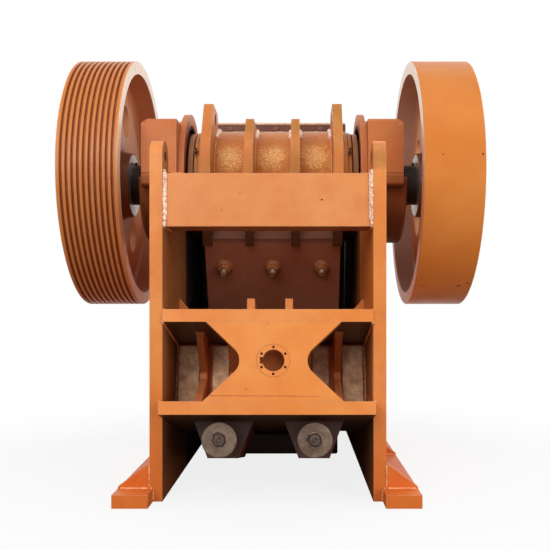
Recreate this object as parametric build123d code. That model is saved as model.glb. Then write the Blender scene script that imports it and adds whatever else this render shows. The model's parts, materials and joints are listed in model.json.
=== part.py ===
from build123d import *
from math import atan, cos, degrees, pi, radians, sin, tan
import os

# Jaw crusher with a single toggle, seen from the toggle side.
# X runs across the machine, Y from the rear (toggle side) to the front (fixed jaw), Z up.
# Lengths along Y are measured from the rear edges of the side plates.

# Main frame
plate_thick = 60
plate_rest_z = 1470
plate_ramp = 160
front_top_z = 1585
front_overlap = 30
front_lean = 6
corner_round = 60

# Lifting ears at the rear of the side plates
ear_top_z = 1658
ear_depth = 165
ear_hole_r = 25.5
ear_hole_lift = 8

# Rear top beam
beam_low_z = 1270
beam_height = 247
beam_depth = 220
beam_recess = 18
beam_wall = 30

# Toggle box, tilted down towards the front
box_tilt = 15
box_rest_z = 417.5
box_height = 486
shelf_thick = 60
lower_shelf_reach = 130
box_wall_at = 500
box_wall_thick = 60

# Hourglass web plate across the rear of the toggle box
web_offset = 27
web_thick = 50
web_top_half = 311
web_bottom_half = 316
web_waist_half = 122
web_waist_drop = 240
web_notch_r = 73
web_bore_r = 50
web_key_wide = 30
web_key_deep = 12
web_bolt_count = 6
web_bolt_pcd = 124
web_bolt_r = 6

# Ribs and shim packs inside the toggle box
box_rib_thick = 35
outer_bay = 166
inner_bay = 150
box_rib_end_at = 200
box_rib_waist_at = 415
box_rib_flat = 30
box_rib_round = 20
shim_thick = 32
inner_shim_gaps = (44, 24)
outer_shim_gaps = (46, 16)
shim_top_gap = 15

# Gussets that stand on the upper shelf
shelf_rib_at = 95
shelf_rib_thick = 38
shelf_rib_length = 290
shelf_rib_height = 125
shelf_rib_slope = 60
corner_gusset_high = 192
corner_gusset_wide = 166
corner_gusset_thick = 40

# Toggle plate and its rear seat
seat_depth = 90
seat_height = 180
seat_side_gap = 86
toggle_thick = 70
toggle_side_gap = 20
toggle_length = 455
toggle_bite = 16

# Eccentric shaft
shaft_y = 1093
shaft_z = 1622
throw = 12
run_clear = 0.05
open_clear = 5
hub_seat_r = 116
journal_r = 122
eccentric_r = 140
shaft_proud = 14
collar_thick = 28
collar_gap = 7
collar_side_gap = 6

# Bearing housings on the side plates, sized from the opening round the sealing collar
ring_clear = 30
ring_wide = 82
ring_thick = 34
ring_recess = 26
ring_step = 37
housing_step = 38
housing_shell = 107
housing_foot = 70
housing_round = 24
housing_length = 202
housing_bevel = 14
cap_drop = 114
cap_shoulder = 34
cap_length = 166
cap_bevel = 20
cover_step = 111
cover_thick = 30
saddle_gap = 20
saddle_slope = 60
notch_gap = 18

# Flywheels
wheel_r = 710
wheel_gap = 35
wheel_wide = 317
rim_thick = 70
hub_r = 186
hub_draft = 14
hub_inset = 57
hub_length = 238
spoke_thick = 60
spoke_draft = 12
wheel_fillet = 26
wheel_edge = 4
wheel_holes = 6
wheel_hole_r = 98
wheel_hole_at = 413
sheave_hole_turn = 77
flywheel_hole_turn = -24
groove_count = 10
groove_pitch = 29.3
groove_open = 17
groove_floor = 8
groove_deep = 19

# Head of the swing jaw
barrel_r = 300
barrel_half = 420
barrel_relief_r = 168
barrel_land = 150
end_plate_thick = 25
end_plate_step = 6
end_plate_bore_r = 150

# Body of the swing jaw
face_lean = 14
face_step = 20
face_thick = 60
face_side_gap = 10
face_top = 150
jaw_low_z = 60
back_lean = 28
back_step = 218
back_thick = 50
back_side_step = 67
back_top_at = 110
block_deep = 260
block_height = 236
block_low_z = 140
block_slope = 70
block_round = 25
floor_thick = 55
body_rib_thick = 40
body_rib_at = 110
pocket_roof = 8

# Ribs over the head of the swing jaw
outer_rib_inset = 65
outer_rib_thick = 50
outer_rib_rise = 120
inner_rib_at = 125
inner_rib_thick = 44
inner_rib_rise = 20
head_rib_reach = 233
head_rib_foot_at = 155
head_rib_step = 25
head_rib_heel = 40
head_rib_shoulder = 155
head_rib_crown_back = 43
head_rib_crown = 170
lift_hole_r = 30
lift_hole_drop = 95
guard_rise = 140
guard_thick = 22
guard_lip = 60
guard_lap = 40

# Toothed liners and cheek plates of the crushing chamber
liner_back = 42
liner_side_step = 4
liner_low_z = 75
swing_liner_length = 1480
fixed_liner_length = 1440
tooth_high = 38
tooth_pitch = 80
tooth_tip = 26
tooth_root = 22
fixed_tooth_count = 10
swing_tooth_count = 9
chamber_gap = 90
cheek_thick = 36
cheek_low_z = 110
cheek_drop = 30
cheek_setback = 10

# Front wall
wall_thick = 60
wall_low_z = 15
wall_rib_places = (-330, -110, 110, 330)
wall_rib_thick = 40
wall_rib_deep = 80
wall_rib_taper = 260
wall_band_high = 60

# Base flanges along the side plates
flange_wide = 162
flange_thick = 60
flange_lap = 16
flange_rear = 128
flange_front = 40
foot_gusset_high = 109
foot_gusset_toe = 8
foot_gusset_flat = 14
foot_gusset_thick = 35
foot_gusset_places = (0, 830, 1660)
anchor_r = 21
anchor_out = 74
anchor_places = (120, 1890)

# Tension rods with their springs and brackets
rod_x = 214.5
rod_r = 22.5
rod_tail_y = -110
rod_tail_z = 302
rod_pin_y = 1160
rod_pin_z = 72
rod_eye_r = 46
rod_eye_gap = 1
rod_nut_r = 33
rod_nut_out = 12
disc_r = 79
disc_thick = 30
disc_edge = 4
disc_recess_r = 36
disc_recess_deep = 8
spring_wire_r = 11
spring_gap = 12
spring_rest = 0.8
spring_turns = 4
spring_sides = 12
bracket_at = 205
bracket_thick = 36
bracket_low_half = 73
bracket_top_half = 163
bracket_low = 82
bracket_high = 150
lug_at = 66
lug_thick = 32
lug_low_z = 25
lug_low_half = 42
lug_top_half = 80
lug_round = 20
pin_r = 20
pin_out = 12

# Derived places along the shaft
inner_half = barrel_half + end_plate_thick + collar_gap + collar_thick + collar_side_gap
outer_half = inner_half + plate_thick
housing_end = outer_half + housing_length
cap_end = outer_half + cap_length
wheel_inner = housing_end + wheel_gap
wheel_outer = wheel_inner + wheel_wide
hub_inner = wheel_inner + hub_inset
hub_outer = hub_inner + hub_length
shaft_end = hub_outer + shaft_proud
face_half = inner_half - cheek_thick - face_side_gap
back_half = face_half - back_side_step
liner_half = face_half - liner_side_step
seat_half = inner_half - seat_side_gap
toggle_half = seat_half - toggle_side_gap
outer_rib_at = barrel_half - outer_rib_inset
body_rib_places = (body_rib_at, back_half - body_rib_thick)
outer_box_rib = inner_half - outer_bay
inner_box_rib = outer_box_rib - inner_bay
box_rib_places = (inner_box_rib, outer_box_rib)
inner_shims = (inner_box_rib + inner_shim_gaps[0], outer_box_rib - inner_shim_gaps[1])
outer_shims = (outer_box_rib + outer_shim_gaps[0], inner_half - outer_shim_gaps[1])
anchor_x = outer_half + anchor_out

# Derived sizes round the barrel and its bearings
collar_r = barrel_r
ring_opening_r = collar_r + ring_clear
ring_r = ring_opening_r + ring_wide
drum_r = ring_r - ring_step
housing_half = ring_r + housing_step
housing_r = housing_half - housing_shell
cap_height = ring_r - cap_drop
cover_r = housing_r - cover_step
face_offset = barrel_r + face_step
back_offset = barrel_r + back_step
outer_rib_top_z = shaft_z - throw + barrel_r + outer_rib_rise
inner_rib_top_z = shaft_z - throw + barrel_r + inner_rib_rise
guard_top_z = shaft_z - throw + barrel_r + guard_rise
head_rib_rear_y = shaft_y - barrel_r - head_rib_reach
head_rib_crown_y = shaft_y - head_rib_crown_back

# Derived places seen from the side
shaft_axis = (shaft_y, shaft_z)
barrel_axis = (shaft_y, shaft_z - throw)
liner_thick = liner_back + tooth_high
upper_shelf_depth = box_wall_at + box_wall_thick
lower_shelf_depth = upper_shelf_depth + lower_shelf_reach
box_top_z = box_rest_z + box_height * cos(radians(box_tilt))
box_low = -box_height
box_ceiling = -shelf_thick
box_floor = box_low + shelf_thick
box_middle = -box_height / 2
toggle_front = upper_shelf_depth + seat_depth - toggle_bite + toggle_length
jaw_seat_at = toggle_front - toggle_bite


def side_point(start, angle, forward, down):
    """Point reached from start by going forward, square to a leaning line, and down along it."""
    y = start[0] + forward * cos(radians(angle)) + down * sin(radians(angle))
    z = start[1] + forward * sin(radians(angle)) - down * cos(radians(angle))
    return y, z


def down_to(start, angle, forward, z):
    """How far down the leaning line lies the height z."""
    return (start[1] + forward * sin(radians(angle)) - z) / cos(radians(angle))


def side_shape(corners, x_from, x_to):
    """Solid with the side outline given as (y, z) or (y, z, radius), between two X planes."""
    outline = make_face(Polyline([(corner[0], corner[1]) for corner in corners], close=True))
    for corner in corners:
        if len(corner) == 3:
            nearest = outline.vertices().sort_by_distance((corner[0], corner[1], 0))[0]
            outline = fillet(nearest, corner[2])
    return extrude(Plane.YZ.offset(x_from) * outline, amount=x_to - x_from, dir=(1, 0, 0))


def cross_bar(x_from, x_to, radius, centre):
    """Round bar along X about a centre given as (y, z)."""
    bar = extrude(Plane.YZ.offset(x_from) * Circle(radius), amount=x_to - x_from, dir=(1, 0, 0))
    return Pos(0, centre[0], centre[1]) * bar


def above(z, x_from, x_to):
    """Large block above a height, for cutting pieces at the split of the bearings."""
    reach = 2 * wheel_r
    return side_shape([(-reach, z), (-reach, z + reach), (2 * reach, z + reach), (2 * reach, z)], x_from, x_to)


def below(z, x_from, x_to):
    """Large block below a height."""
    return above(z - 2 * wheel_r, x_from, x_to)


def left_of(shape):
    """Mirror image on the left of the machine."""
    return mirror(shape, about=Plane.YZ)


def group(*shapes):
    """One node from several separate solids."""
    return Compound([solid for shape in shapes for solid in shape.solids()])


def pair(shape):
    """One node from a shape and its mirror image."""
    return group(shape, left_of(shape))


# Front wall line, which leans forward from the foot of the chamber
swing_foot = down_to(barrel_axis, face_lean, face_offset + liner_thick, liner_low_z)
swing_tip_y = side_point(barrel_axis, face_lean, face_offset + liner_thick, swing_foot)[0]
wall_foot_y = (
    swing_tip_y + chamber_gap + liner_thick / cos(radians(front_lean))
    - liner_low_z * tan(radians(front_lean))
)


def wall_y(z, out):
    """Y at a height of the plane that lies out from the inner face of the front wall."""
    return wall_foot_y + out / cos(radians(front_lean)) + z * tan(radians(front_lean))


front_y = wall_y(front_top_z, wall_thick + wall_rib_deep)
y_mid = (front_y - flange_rear) / 2
plate_front = wall_thick + front_overlap


def side_plate():
    """Side plate of the frame, with its lifting ear, bearing saddle and sloping front edge."""
    ear_r = ear_depth / 2
    saddle = housing_half + saddle_gap
    corners = [
        (0, 0),
        (0, ear_top_z, 0.97 * ear_r),
        (ear_depth, ear_top_z, 0.97 * ear_r),
        (ear_depth, plate_rest_z, corner_round),
        (shaft_y - saddle - plate_ramp, plate_rest_z, corner_round),
        (shaft_y - saddle, shaft_z),
        (shaft_y + saddle, shaft_z),
        (shaft_y + saddle + saddle_slope, front_top_z),
        (wall_y(front_top_z, plate_front), front_top_z, corner_round),
        (wall_y(0, plate_front), 0),
    ]
    plate = side_shape(corners, inner_half, outer_half)
    plate -= cross_bar(inner_half, outer_half, ear_hole_r, (ear_r, ear_top_z - ear_r + ear_hole_lift))
    plate -= cross_bar(inner_half, outer_half, journal_r + notch_gap, shaft_axis)
    return plate


def top_beam():
    """Hollow beam that ties the side plates together behind the shaft."""
    far = beam_recess + beam_depth
    top = beam_low_z + beam_height
    outer = [(beam_recess, beam_low_z), (beam_recess, top), (far, top), (far, beam_low_z)]
    inner = [
        (beam_recess + beam_wall, beam_low_z + beam_wall),
        (beam_recess + beam_wall, top - beam_wall),
        (far - beam_wall, top - beam_wall),
        (far - beam_wall, beam_low_z + beam_wall),
    ]
    return side_shape(outer, -inner_half, inner_half) - side_shape(inner, -inner_half, inner_half)


# The toggle box is drawn upright from its rear top edge, and then tilted
box_place = Location((0, 0, box_top_z), (-box_tilt, 0, 0))


def box_point(depth, height):
    """Point of the tilted toggle box, as (y, z) of the machine."""
    return side_point((0, box_top_z), -box_tilt, depth, -height)


def slab(x_from, x_to, depth_from, depth_to, low, high):
    """Plain slab in the upright frame of the toggle box."""
    corners = [(depth_from, low), (depth_from, high), (depth_to, high), (depth_to, low)]
    return side_shape(corners, x_from, x_to)


def web_plate():
    """Hourglass plate across the rear of the box, with its keyed bore and ring of holes."""
    corners = [
        (web_offset - web_top_half, box_ceiling),
        (web_offset + web_top_half, box_ceiling),
        (web_offset + web_waist_half, -web_waist_drop),
        (web_offset + web_bottom_half, box_floor),
        (web_offset - web_bottom_half, box_floor),
        (web_offset - web_waist_half, -web_waist_drop),
    ]
    outline = make_face(Polyline(corners, close=True))
    for side in (-1, 1):
        waist = (web_offset + side * web_waist_half, -web_waist_drop, 0)
        outline = fillet(outline.vertices().sort_by_distance(waist)[0], web_notch_r)
    centre = Pos(web_offset, -web_waist_drop)
    first_bolt = 180 / web_bolt_count
    outline -= centre * Circle(web_bore_r)
    outline -= centre * Pos(-web_bore_r, 0) * Rectangle(2 * web_key_deep, web_key_wide)
    outline -= centre * PolarLocations(web_bolt_pcd / 2, web_bolt_count, first_bolt) * Circle(web_bolt_r)
    return extrude(Plane.XZ * outline, amount=web_thick, dir=(0, 1, 0))


def box_rib(x_from):
    """Rib inside the box, with its rear edge cut to a blunt V."""
    corners = [
        (box_wall_at, box_ceiling),
        (box_rib_end_at, box_ceiling),
        (box_rib_waist_at, -web_waist_drop + box_rib_flat / 2, box_rib_round),
        (box_rib_waist_at, -web_waist_drop - box_rib_flat / 2, box_rib_round),
        (box_rib_end_at, box_floor),
        (box_wall_at, box_floor),
    ]
    return side_shape(corners, x_from, x_from + box_rib_thick)


def shim_pack(band):
    """Pack of shims against the front plate of the box."""
    return slab(band[0], band[1], box_wall_at - shim_thick, box_wall_at, box_floor, box_ceiling - shim_top_gap)


def toggle_seat():
    """Seat for the rear end of the toggle plate, with a round groove along it."""
    half = seat_height / 2
    far = upper_shelf_depth + seat_depth
    block = slab(-seat_half, seat_half, upper_shelf_depth, far, box_middle - half, box_middle + half)
    groove = (far - toggle_bite + toggle_thick / 2, box_middle)
    return block - cross_bar(-seat_half, seat_half, toggle_thick / 2, groove)


def toggle_plate():
    """Toggle plate with its two round ends."""
    end_r = toggle_thick / 2
    rear = toggle_front - toggle_length + end_r
    front = toggle_front - end_r
    plate = slab(-toggle_half, toggle_half, rear, front, box_middle - end_r, box_middle + end_r)
    plate += cross_bar(-toggle_half, toggle_half, end_r, (rear, box_middle))
    plate += cross_bar(-toggle_half, toggle_half, end_r, (front, box_middle))
    return plate


def shelf_rib():
    """Low rib that stands on the upper shelf near the middle."""
    rear = upper_shelf_depth - shelf_rib_length
    corners = [
        (rear, 0),
        (rear, shelf_rib_height),
        (upper_shelf_depth - shelf_rib_slope, shelf_rib_height),
        (upper_shelf_depth, 0),
    ]
    return side_shape(corners, shelf_rib_at - shelf_rib_thick / 2, shelf_rib_at + shelf_rib_thick / 2)


def corner_gusset():
    """Triangular gusset in the corner between the upper shelf and a side plate."""
    outline = make_face(Polyline([
        (inner_half, 0),
        (inner_half, corner_gusset_high),
        (inner_half - corner_gusset_wide, 0),
    ], close=True))
    body = extrude(Plane.XZ * outline, amount=corner_gusset_thick, dir=(0, 1, 0))
    return Pos(0, box_wall_at, 0) * body


def wall_slab(z_from, z_to, inner, outer, x_from, x_to):
    """Slab that leans with the front wall, between two heights."""
    corners = [
        (wall_y(z_from, inner), z_from),
        (wall_y(z_to, inner), z_to),
        (wall_y(z_to, outer), z_to),
        (wall_y(z_from, outer), z_from),
    ]
    return side_shape(corners, x_from, x_to)


def wall_rib(x_middle):
    """Upright rib on the outside of the front wall, tapered towards its foot."""
    low = wall_low_z + wall_band_high
    high = front_top_z - wall_band_high
    corners = [
        (wall_y(low, wall_thick), low),
        (wall_y(high, wall_thick), high),
        (wall_y(high, wall_thick + wall_rib_deep), high),
        (wall_y(low + wall_rib_taper, wall_thick + wall_rib_deep), low + wall_rib_taper, corner_round),
        (wall_y(low, wall_thick + wall_rib_deep / 2), low),
    ]
    return side_shape(corners, x_middle - wall_rib_thick / 2, x_middle + wall_rib_thick / 2)


def front_ribs():
    """Ribs of the front wall, joined by a band along its foot and one along its top."""
    foot_band = wall_low_z + wall_band_high
    top_band = front_top_z - wall_band_high
    half_deep = wall_thick + wall_rib_deep / 2
    ribs = wall_slab(wall_low_z, foot_band, wall_thick, half_deep, -inner_half, inner_half)
    ribs += wall_slab(top_band, front_top_z, wall_thick, wall_thick + wall_rib_deep, -inner_half, inner_half)
    for x in wall_rib_places:
        ribs += wall_rib(x)
    return ribs


def toothed_plate(length, count):
    """Liner plate lying flat, with its teeth towards +Z, its foot at Y zero and its length along Y."""
    flank = (tooth_pitch - tooth_tip - tooth_root) / 2
    points = [(-liner_half, 0), (-liner_half, liner_back)]
    for number in range(count):
        start = (number - count / 2) * tooth_pitch + tooth_root / 2
        points.append((start, liner_back))
        points.append((start + flank, liner_thick))
        points.append((start + flank + tooth_tip, liner_thick))
        points.append((start + 2 * flank + tooth_tip, liner_back))
    points.append((liner_half, liner_back))
    points.append((liner_half, 0))
    outline = make_face(Polyline(points, close=True))
    return extrude(Plane.XZ * outline, amount=length, dir=(0, 1, 0))


def fixed_liner():
    """Toothed liner of the fixed jaw, against the front wall."""
    lean = radians(front_lean)
    foot = (0, wall_y(liner_low_z, 0), liner_low_z)
    place = Plane(origin=foot, x_dir=(1, 0, 0), z_dir=(0, -cos(lean), sin(lean)))
    return place * toothed_plate(fixed_liner_length, fixed_tooth_count)


def swing_liner():
    """Toothed liner of the swing jaw, against its face plate."""
    lean = radians(face_lean)
    y, z = face_point(0, down_to(barrel_axis, face_lean, face_offset, liner_low_z))
    place = Plane(origin=(0, y, z), x_dir=(-1, 0, 0), z_dir=(0, cos(lean), sin(lean)))
    return place * toothed_plate(swing_liner_length, swing_tooth_count)


def cheek_plate():
    """Side liner of the chamber, between the two jaws."""
    high = front_top_z - cheek_drop
    edge = face_offset + cheek_setback
    swing_low = side_point(barrel_axis, face_lean, edge, down_to(barrel_axis, face_lean, edge, cheek_low_z))
    swing_high = side_point(barrel_axis, face_lean, edge, down_to(barrel_axis, face_lean, edge, high))
    corners = [swing_low, swing_high, (wall_y(high, 0), high), (wall_y(cheek_low_z, 0), cheek_low_z)]
    return side_shape(corners, inner_half - cheek_thick, inner_half)


def base_flange():
    """Long foot along the outside of a side plate, lapping round its rear end."""
    near = outer_half - flange_lap
    far_y = wall_y(0, plate_front) + flange_front
    corners = [(-flange_rear, 0), (-flange_rear, flange_thick), (far_y, flange_thick), (far_y, 0)]
    flange = side_shape(corners, near, near + flange_wide)
    flange -= side_shape([(0, 0), (0, flange_thick), (far_y, flange_thick), (far_y, 0)], near, outer_half)
    for y in anchor_places:
        flange -= Pos(anchor_x, y, flange_thick / 2) * Cylinder(anchor_r, flange_thick)
    return flange


def foot_gusset(y):
    """Triangular gusset between the base flange and the side plate."""
    toe = outer_half - flange_lap + flange_wide
    outline = make_face(Polyline([
        (outer_half, flange_thick),
        (outer_half, flange_thick + foot_gusset_high),
        (outer_half + foot_gusset_flat, flange_thick + foot_gusset_high),
        (toe, flange_thick + foot_gusset_toe),
        (toe, flange_thick),
    ], close=True))
    return Pos(0, y, 0) * extrude(Plane.XZ * outline, amount=foot_gusset_thick, dir=(0, 1, 0))


def bearing_seat():
    """Lower half of the bearing housing: a half drum with two feet along the split."""
    drum = cross_bar(outer_half, housing_end, housing_r, shaft_axis)
    drum = chamfer(drum.edges().filter_by(GeomType.CIRCLE).sort_by(Axis.X)[-1], housing_bevel)
    low = shaft_z - housing_foot
    feet = side_shape([
        (shaft_y - housing_half, shaft_z),
        (shaft_y - housing_half, low, housing_round),
        (shaft_y + housing_half, low, housing_round),
        (shaft_y + housing_half, shaft_z),
    ], outer_half, cap_end)
    body = drum + feet - above(shaft_z, outer_half, housing_end)
    return body - cross_bar(outer_half, housing_end, journal_r + run_clear, shaft_axis)


def bearing_cap():
    """Upper half of the bearing housing, with a round flange towards the swing jaw."""
    high = shaft_z + cap_height
    cap = side_shape([
        (shaft_y - housing_half, shaft_z),
        (shaft_y - housing_half, high - cap_shoulder),
        (shaft_y - housing_half + cap_shoulder, high),
        (shaft_y + housing_half - cap_shoulder, high),
        (shaft_y + housing_half, high - cap_shoulder),
        (shaft_y + housing_half, shaft_z),
    ], outer_half, cap_end)
    cap = chamfer(cap.faces().sort_by(Axis.X)[-1].edges().sort_by(Axis.Z)[-1], cap_bevel)
    drum = cross_bar(inner_half, outer_half, drum_r, shaft_axis)
    drum += cross_bar(inner_half, inner_half + ring_thick, ring_r, shaft_axis)
    drum -= cross_bar(inner_half, inner_half + ring_recess, ring_opening_r, shaft_axis)
    body = cap + (drum - below(shaft_z, inner_half, outer_half))
    return body - cross_bar(inner_half, cap_end, journal_r + run_clear, shaft_axis)


def cap_cover():
    """Upper part of the round cover on the outer end of a bearing cap."""
    cover = cross_bar(cap_end, cap_end + cover_thick, cover_r, shaft_axis)
    cover -= below(shaft_z, cap_end, cap_end + cover_thick)
    return cover - cross_bar(cap_end, cap_end + cover_thick, journal_r + run_clear, shaft_axis)


def eccentric_shaft():
    """Shaft with its hub seats, bearing journals and the eccentric part inside the swing jaw."""
    shaft = cross_bar(-shaft_end, shaft_end, hub_seat_r, shaft_axis)
    shaft += cross_bar(-housing_end - throw, housing_end + throw, journal_r, shaft_axis)
    shaft += cross_bar(-barrel_half, barrel_half, eccentric_r, barrel_axis)
    return shaft


def shaft_collar():
    """Large sealing collar on the shaft, between the swing jaw and a side plate."""
    near = barrel_half + end_plate_thick + collar_gap
    collar = cross_bar(near, near + collar_thick, collar_r, shaft_axis)
    return collar - cross_bar(near, near + collar_thick, journal_r + run_clear, shaft_axis)


def wheel_outline(grooved):
    """Half section of a flywheel: X across, height above the shaft axis."""
    middle = wheel_inner + wheel_wide / 2
    rim_low = wheel_r - rim_thick
    bends = [
        (middle - spoke_thick / 2, hub_r + hub_draft),
        (middle - spoke_thick / 2, rim_low - spoke_draft),
        (middle + spoke_thick / 2, rim_low - spoke_draft),
        (middle + spoke_thick / 2, hub_r + hub_draft),
    ]
    corners = [
        (hub_inner, hub_seat_r + run_clear),
        (hub_inner, hub_r),
        bends[0],
        bends[1],
        (wheel_inner, rim_low),
        (wheel_inner, wheel_r),
        (wheel_outer, wheel_r),
        (wheel_outer, rim_low),
        bends[2],
        bends[3],
        (hub_outer, hub_r),
        (hub_outer, hub_seat_r + run_clear),
    ]
    outline = make_face(Polyline(corners, close=True))
    for x, height in bends:
        outline = fillet(outline.vertices().sort_by_distance((x, height, 0))[0], wheel_fillet)
    for x in (wheel_inner, wheel_outer):
        outline = chamfer(outline.vertices().sort_by_distance((x, wheel_r, 0))[0], wheel_edge)
    if grooved:
        for number in range(groove_count):
            x = middle + (number - (groove_count - 1) / 2) * groove_pitch
            outline -= make_face(Polyline([
                (x - groove_open / 2, wheel_r),
                (x + groove_open / 2, wheel_r),
                (x + groove_floor / 2, wheel_r - groove_deep),
                (x - groove_floor / 2, wheel_r - groove_deep),
            ], close=True))
    return outline


def flywheel(grooved, first_hole):
    """Flywheel on the right of the machine, with round holes through its disc."""
    wheel = Pos(0, shaft_y, shaft_z) * revolve(Plane.XZ * wheel_outline(grooved), axis=Axis.X)
    for number in range(wheel_holes):
        turn = radians(first_hole + number * 360 / wheel_holes)
        centre = (shaft_y + wheel_hole_at * cos(turn), shaft_z + wheel_hole_at * sin(turn))
        wheel -= cross_bar(wheel_inner, wheel_outer, wheel_hole_r, centre)
    return wheel


def jaw_barrel():
    """Head of the swing jaw, bored for the eccentric and relieved between its bearing lands."""
    relief = barrel_half - barrel_land
    barrel = cross_bar(-barrel_half, barrel_half, barrel_r, barrel_axis)
    barrel -= cross_bar(-barrel_half, barrel_half, eccentric_r + run_clear, barrel_axis)
    return barrel - cross_bar(-relief, relief, barrel_relief_r, barrel_axis)


def barrel_end_plate():
    """Round plate that closes the end of the barrel round the shaft."""
    far = barrel_half + end_plate_thick
    plate = cross_bar(barrel_half, far, barrel_r - end_plate_step, barrel_axis)
    return plate - cross_bar(barrel_half, far, end_plate_bore_r, barrel_axis)


whole_barrel = cross_bar(-face_half, face_half, barrel_r, barrel_axis)


def face_point(out, down):
    """Point out from the front of the swing jaw's face plate, down from the shaft."""
    return side_point(barrel_axis, face_lean, face_offset + out, down)


def back_point(out, down):
    """Point out to the rear from the back of the swing jaw, down from the shaft."""
    return side_point(barrel_axis, back_lean, -back_offset - out, down)


block_rear_top = box_point(jaw_seat_at, box_middle + block_height / 2)
block_rear_low = box_point(jaw_seat_at, box_middle - block_height / 2)
block_front_top = box_point(jaw_seat_at + block_deep, box_middle + block_height / 2)
face_foot = down_to(barrel_axis, face_lean, face_offset - face_thick, jaw_low_z)
floor_front = down_to(barrel_axis, face_lean, face_offset - face_thick, jaw_low_z + floor_thick)
back_foot = down_to(barrel_axis, back_lean, -back_offset, block_front_top[1])
back_corner = back_point(0, back_top_at)
leg_rise = degrees(atan((barrel_axis[1] - back_corner[1]) / (barrel_axis[0] - back_corner[0])))


def face_plate():
    """Front plate of the swing jaw, which carries the toothed liner."""
    corners = [
        face_point(-face_thick, -face_top),
        face_point(0, -face_top),
        face_point(0, face_foot),
        face_point(-face_thick, face_foot),
    ]
    return side_shape(corners, -face_half, face_half) - whole_barrel


def toggle_block():
    """Block at the foot of the swing jaw, behind its pocket for the toggle plate."""
    corners = [
        block_rear_top,
        block_rear_low,
        (block_rear_low[0] + block_slope, block_low_z, block_round),
        (block_front_top[0], block_low_z),
        block_front_top,
    ]
    return side_shape(corners, -back_half, back_half)


def toggle_pocket():
    """Pocket with room for the whole travel of the swing jaw round the toggle plate."""
    push = throw * (1 + sin(radians(box_tilt))) + open_clear
    lift = 2 * throw + open_clear
    low = box_middle - toggle_thick / 2 - lift
    high = box_middle + toggle_thick / 2 + pocket_roof
    return box_place * slab(-back_half, back_half, jaw_seat_at, toggle_front + push, low, high)


def back_leg_point(along, under):
    """Point on the bent top of the back plate, along it towards the barrel and under its top face."""
    return side_point(back_corner, leg_rise, along, under)


def back_plate():
    """Back of the swing jaw, bent forward to the barrel at its top."""
    straight = [
        back_point(0, back_foot),
        back_corner,
        back_point(-back_thick, back_top_at),
        back_point(-back_thick, back_foot),
    ]
    bent = [
        back_corner,
        barrel_axis,
        back_leg_point(back_offset, back_thick),
        back_leg_point(0, back_thick),
    ]
    plate = side_shape(straight, -back_half, back_half) + side_shape(bent, -back_half, back_half)
    return plate - whole_barrel - toggle_block()


def jaw_floor():
    """Plate under the swing jaw, from the toggle block to the face plate."""
    corners = [
        (block_front_top[0], block_low_z),
        (block_front_top[0], block_low_z + floor_thick),
        face_point(-face_thick, floor_front),
        face_point(-face_thick, face_foot),
    ]
    return side_shape(corners, -back_half, back_half)


def body_rib(x_middle):
    """Rib inside the swing jaw, which fills its hollow from wall to wall."""
    corners = [
        back_leg_point(0, back_thick / 2),
        back_point(-back_thick / 2, back_foot),
        box_point(jaw_seat_at + block_deep / 2, box_middle),
        (block_front_top[0], block_low_z + floor_thick / 2),
        face_point(-face_thick / 2, (face_foot + floor_front) / 2),
        face_point(-face_thick / 2, 0),
        barrel_axis,
    ]
    rib = side_shape(corners, x_middle - body_rib_thick / 2, x_middle + body_rib_thick / 2)
    return rib - whole_barrel - toggle_block() - back_plate() - jaw_floor() - face_plate()


def head_rib(x_middle, thick, top_z):
    """Rib over the head of the swing jaw, from the back plate over the barrel."""
    foot = back_point(0, head_rib_foot_at)
    corners = [
        foot,
        (foot[0] - head_rib_step, foot[1]),
        (head_rib_rear_y, barrel_axis[1] - head_rib_heel),
        (head_rib_rear_y, barrel_axis[1] + head_rib_shoulder, head_rib_shoulder / 2),
        (head_rib_crown_y - head_rib_crown, top_z, corner_round),
        (head_rib_crown_y + corner_round, top_z, corner_round),
        (shaft_y + head_rib_crown, barrel_axis[1] + barrel_r / 2),
        barrel_axis,
        back_corner,
    ]
    return side_shape(corners, x_middle - thick / 2, x_middle + thick / 2) - whole_barrel - back_plate()


def outer_head_rib():
    """Outer rib of the head, with its lifting hole."""
    rib = head_rib(outer_rib_at, outer_rib_thick, outer_rib_top_z)
    near = outer_rib_at - outer_rib_thick / 2
    centre = (head_rib_crown_y - lift_hole_r, outer_rib_top_z - lift_hole_drop)
    return rib - cross_bar(near, near + outer_rib_thick, lift_hole_r, centre)


def jaw_guard():
    """Plate over the front of the barrel, with its top edge bent forward."""
    front, foot = face_point(0, -face_top)
    rear = front - guard_thick
    corners = [
        (rear, foot - guard_lap),
        (rear, guard_top_z, guard_thick / 2),
        (rear + guard_lip, guard_top_z),
        (rear + guard_lip, guard_top_z - guard_thick),
        (front, guard_top_z - guard_thick),
        (front, foot - guard_lap),
    ]
    return side_shape(corners, -face_half, face_half) - face_plate() - whole_barrel


# Each rod is drawn along +Y from the rear face of its disc, and then tilted down
rod_tilt = degrees(atan((rod_tail_z - rod_pin_z) / (rod_pin_y - rod_tail_y)))
rod_length = (rod_pin_y - rod_tail_y) / cos(radians(rod_tilt))
rod_place = Location((rod_x, rod_tail_y, rod_tail_z), (-rod_tilt, 0, 0))
slack_r = rod_r + throw + open_clear


def along_rod(section, start, end):
    """Bar of any section along the rod."""
    return Pos(0, start, 0) * extrude(Plane.XZ * section, amount=end - start, dir=(0, 1, 0))


def tension_rod():
    """Rod with its nut at the rear and its eye on the pin."""
    eye_half = lug_at - lug_thick / 2 - rod_eye_gap
    rod = along_rod(Circle(rod_r), 0, rod_length)
    rod += along_rod(RegularPolygon(rod_nut_r, 6), -rod_nut_out, disc_recess_deep)
    rod += cross_bar(-eye_half, eye_half, rod_eye_r, (rod_length, 0))
    rod -= cross_bar(-eye_half, eye_half, pin_r + run_clear, (rod_length, 0))
    return rod_place * rod


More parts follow.
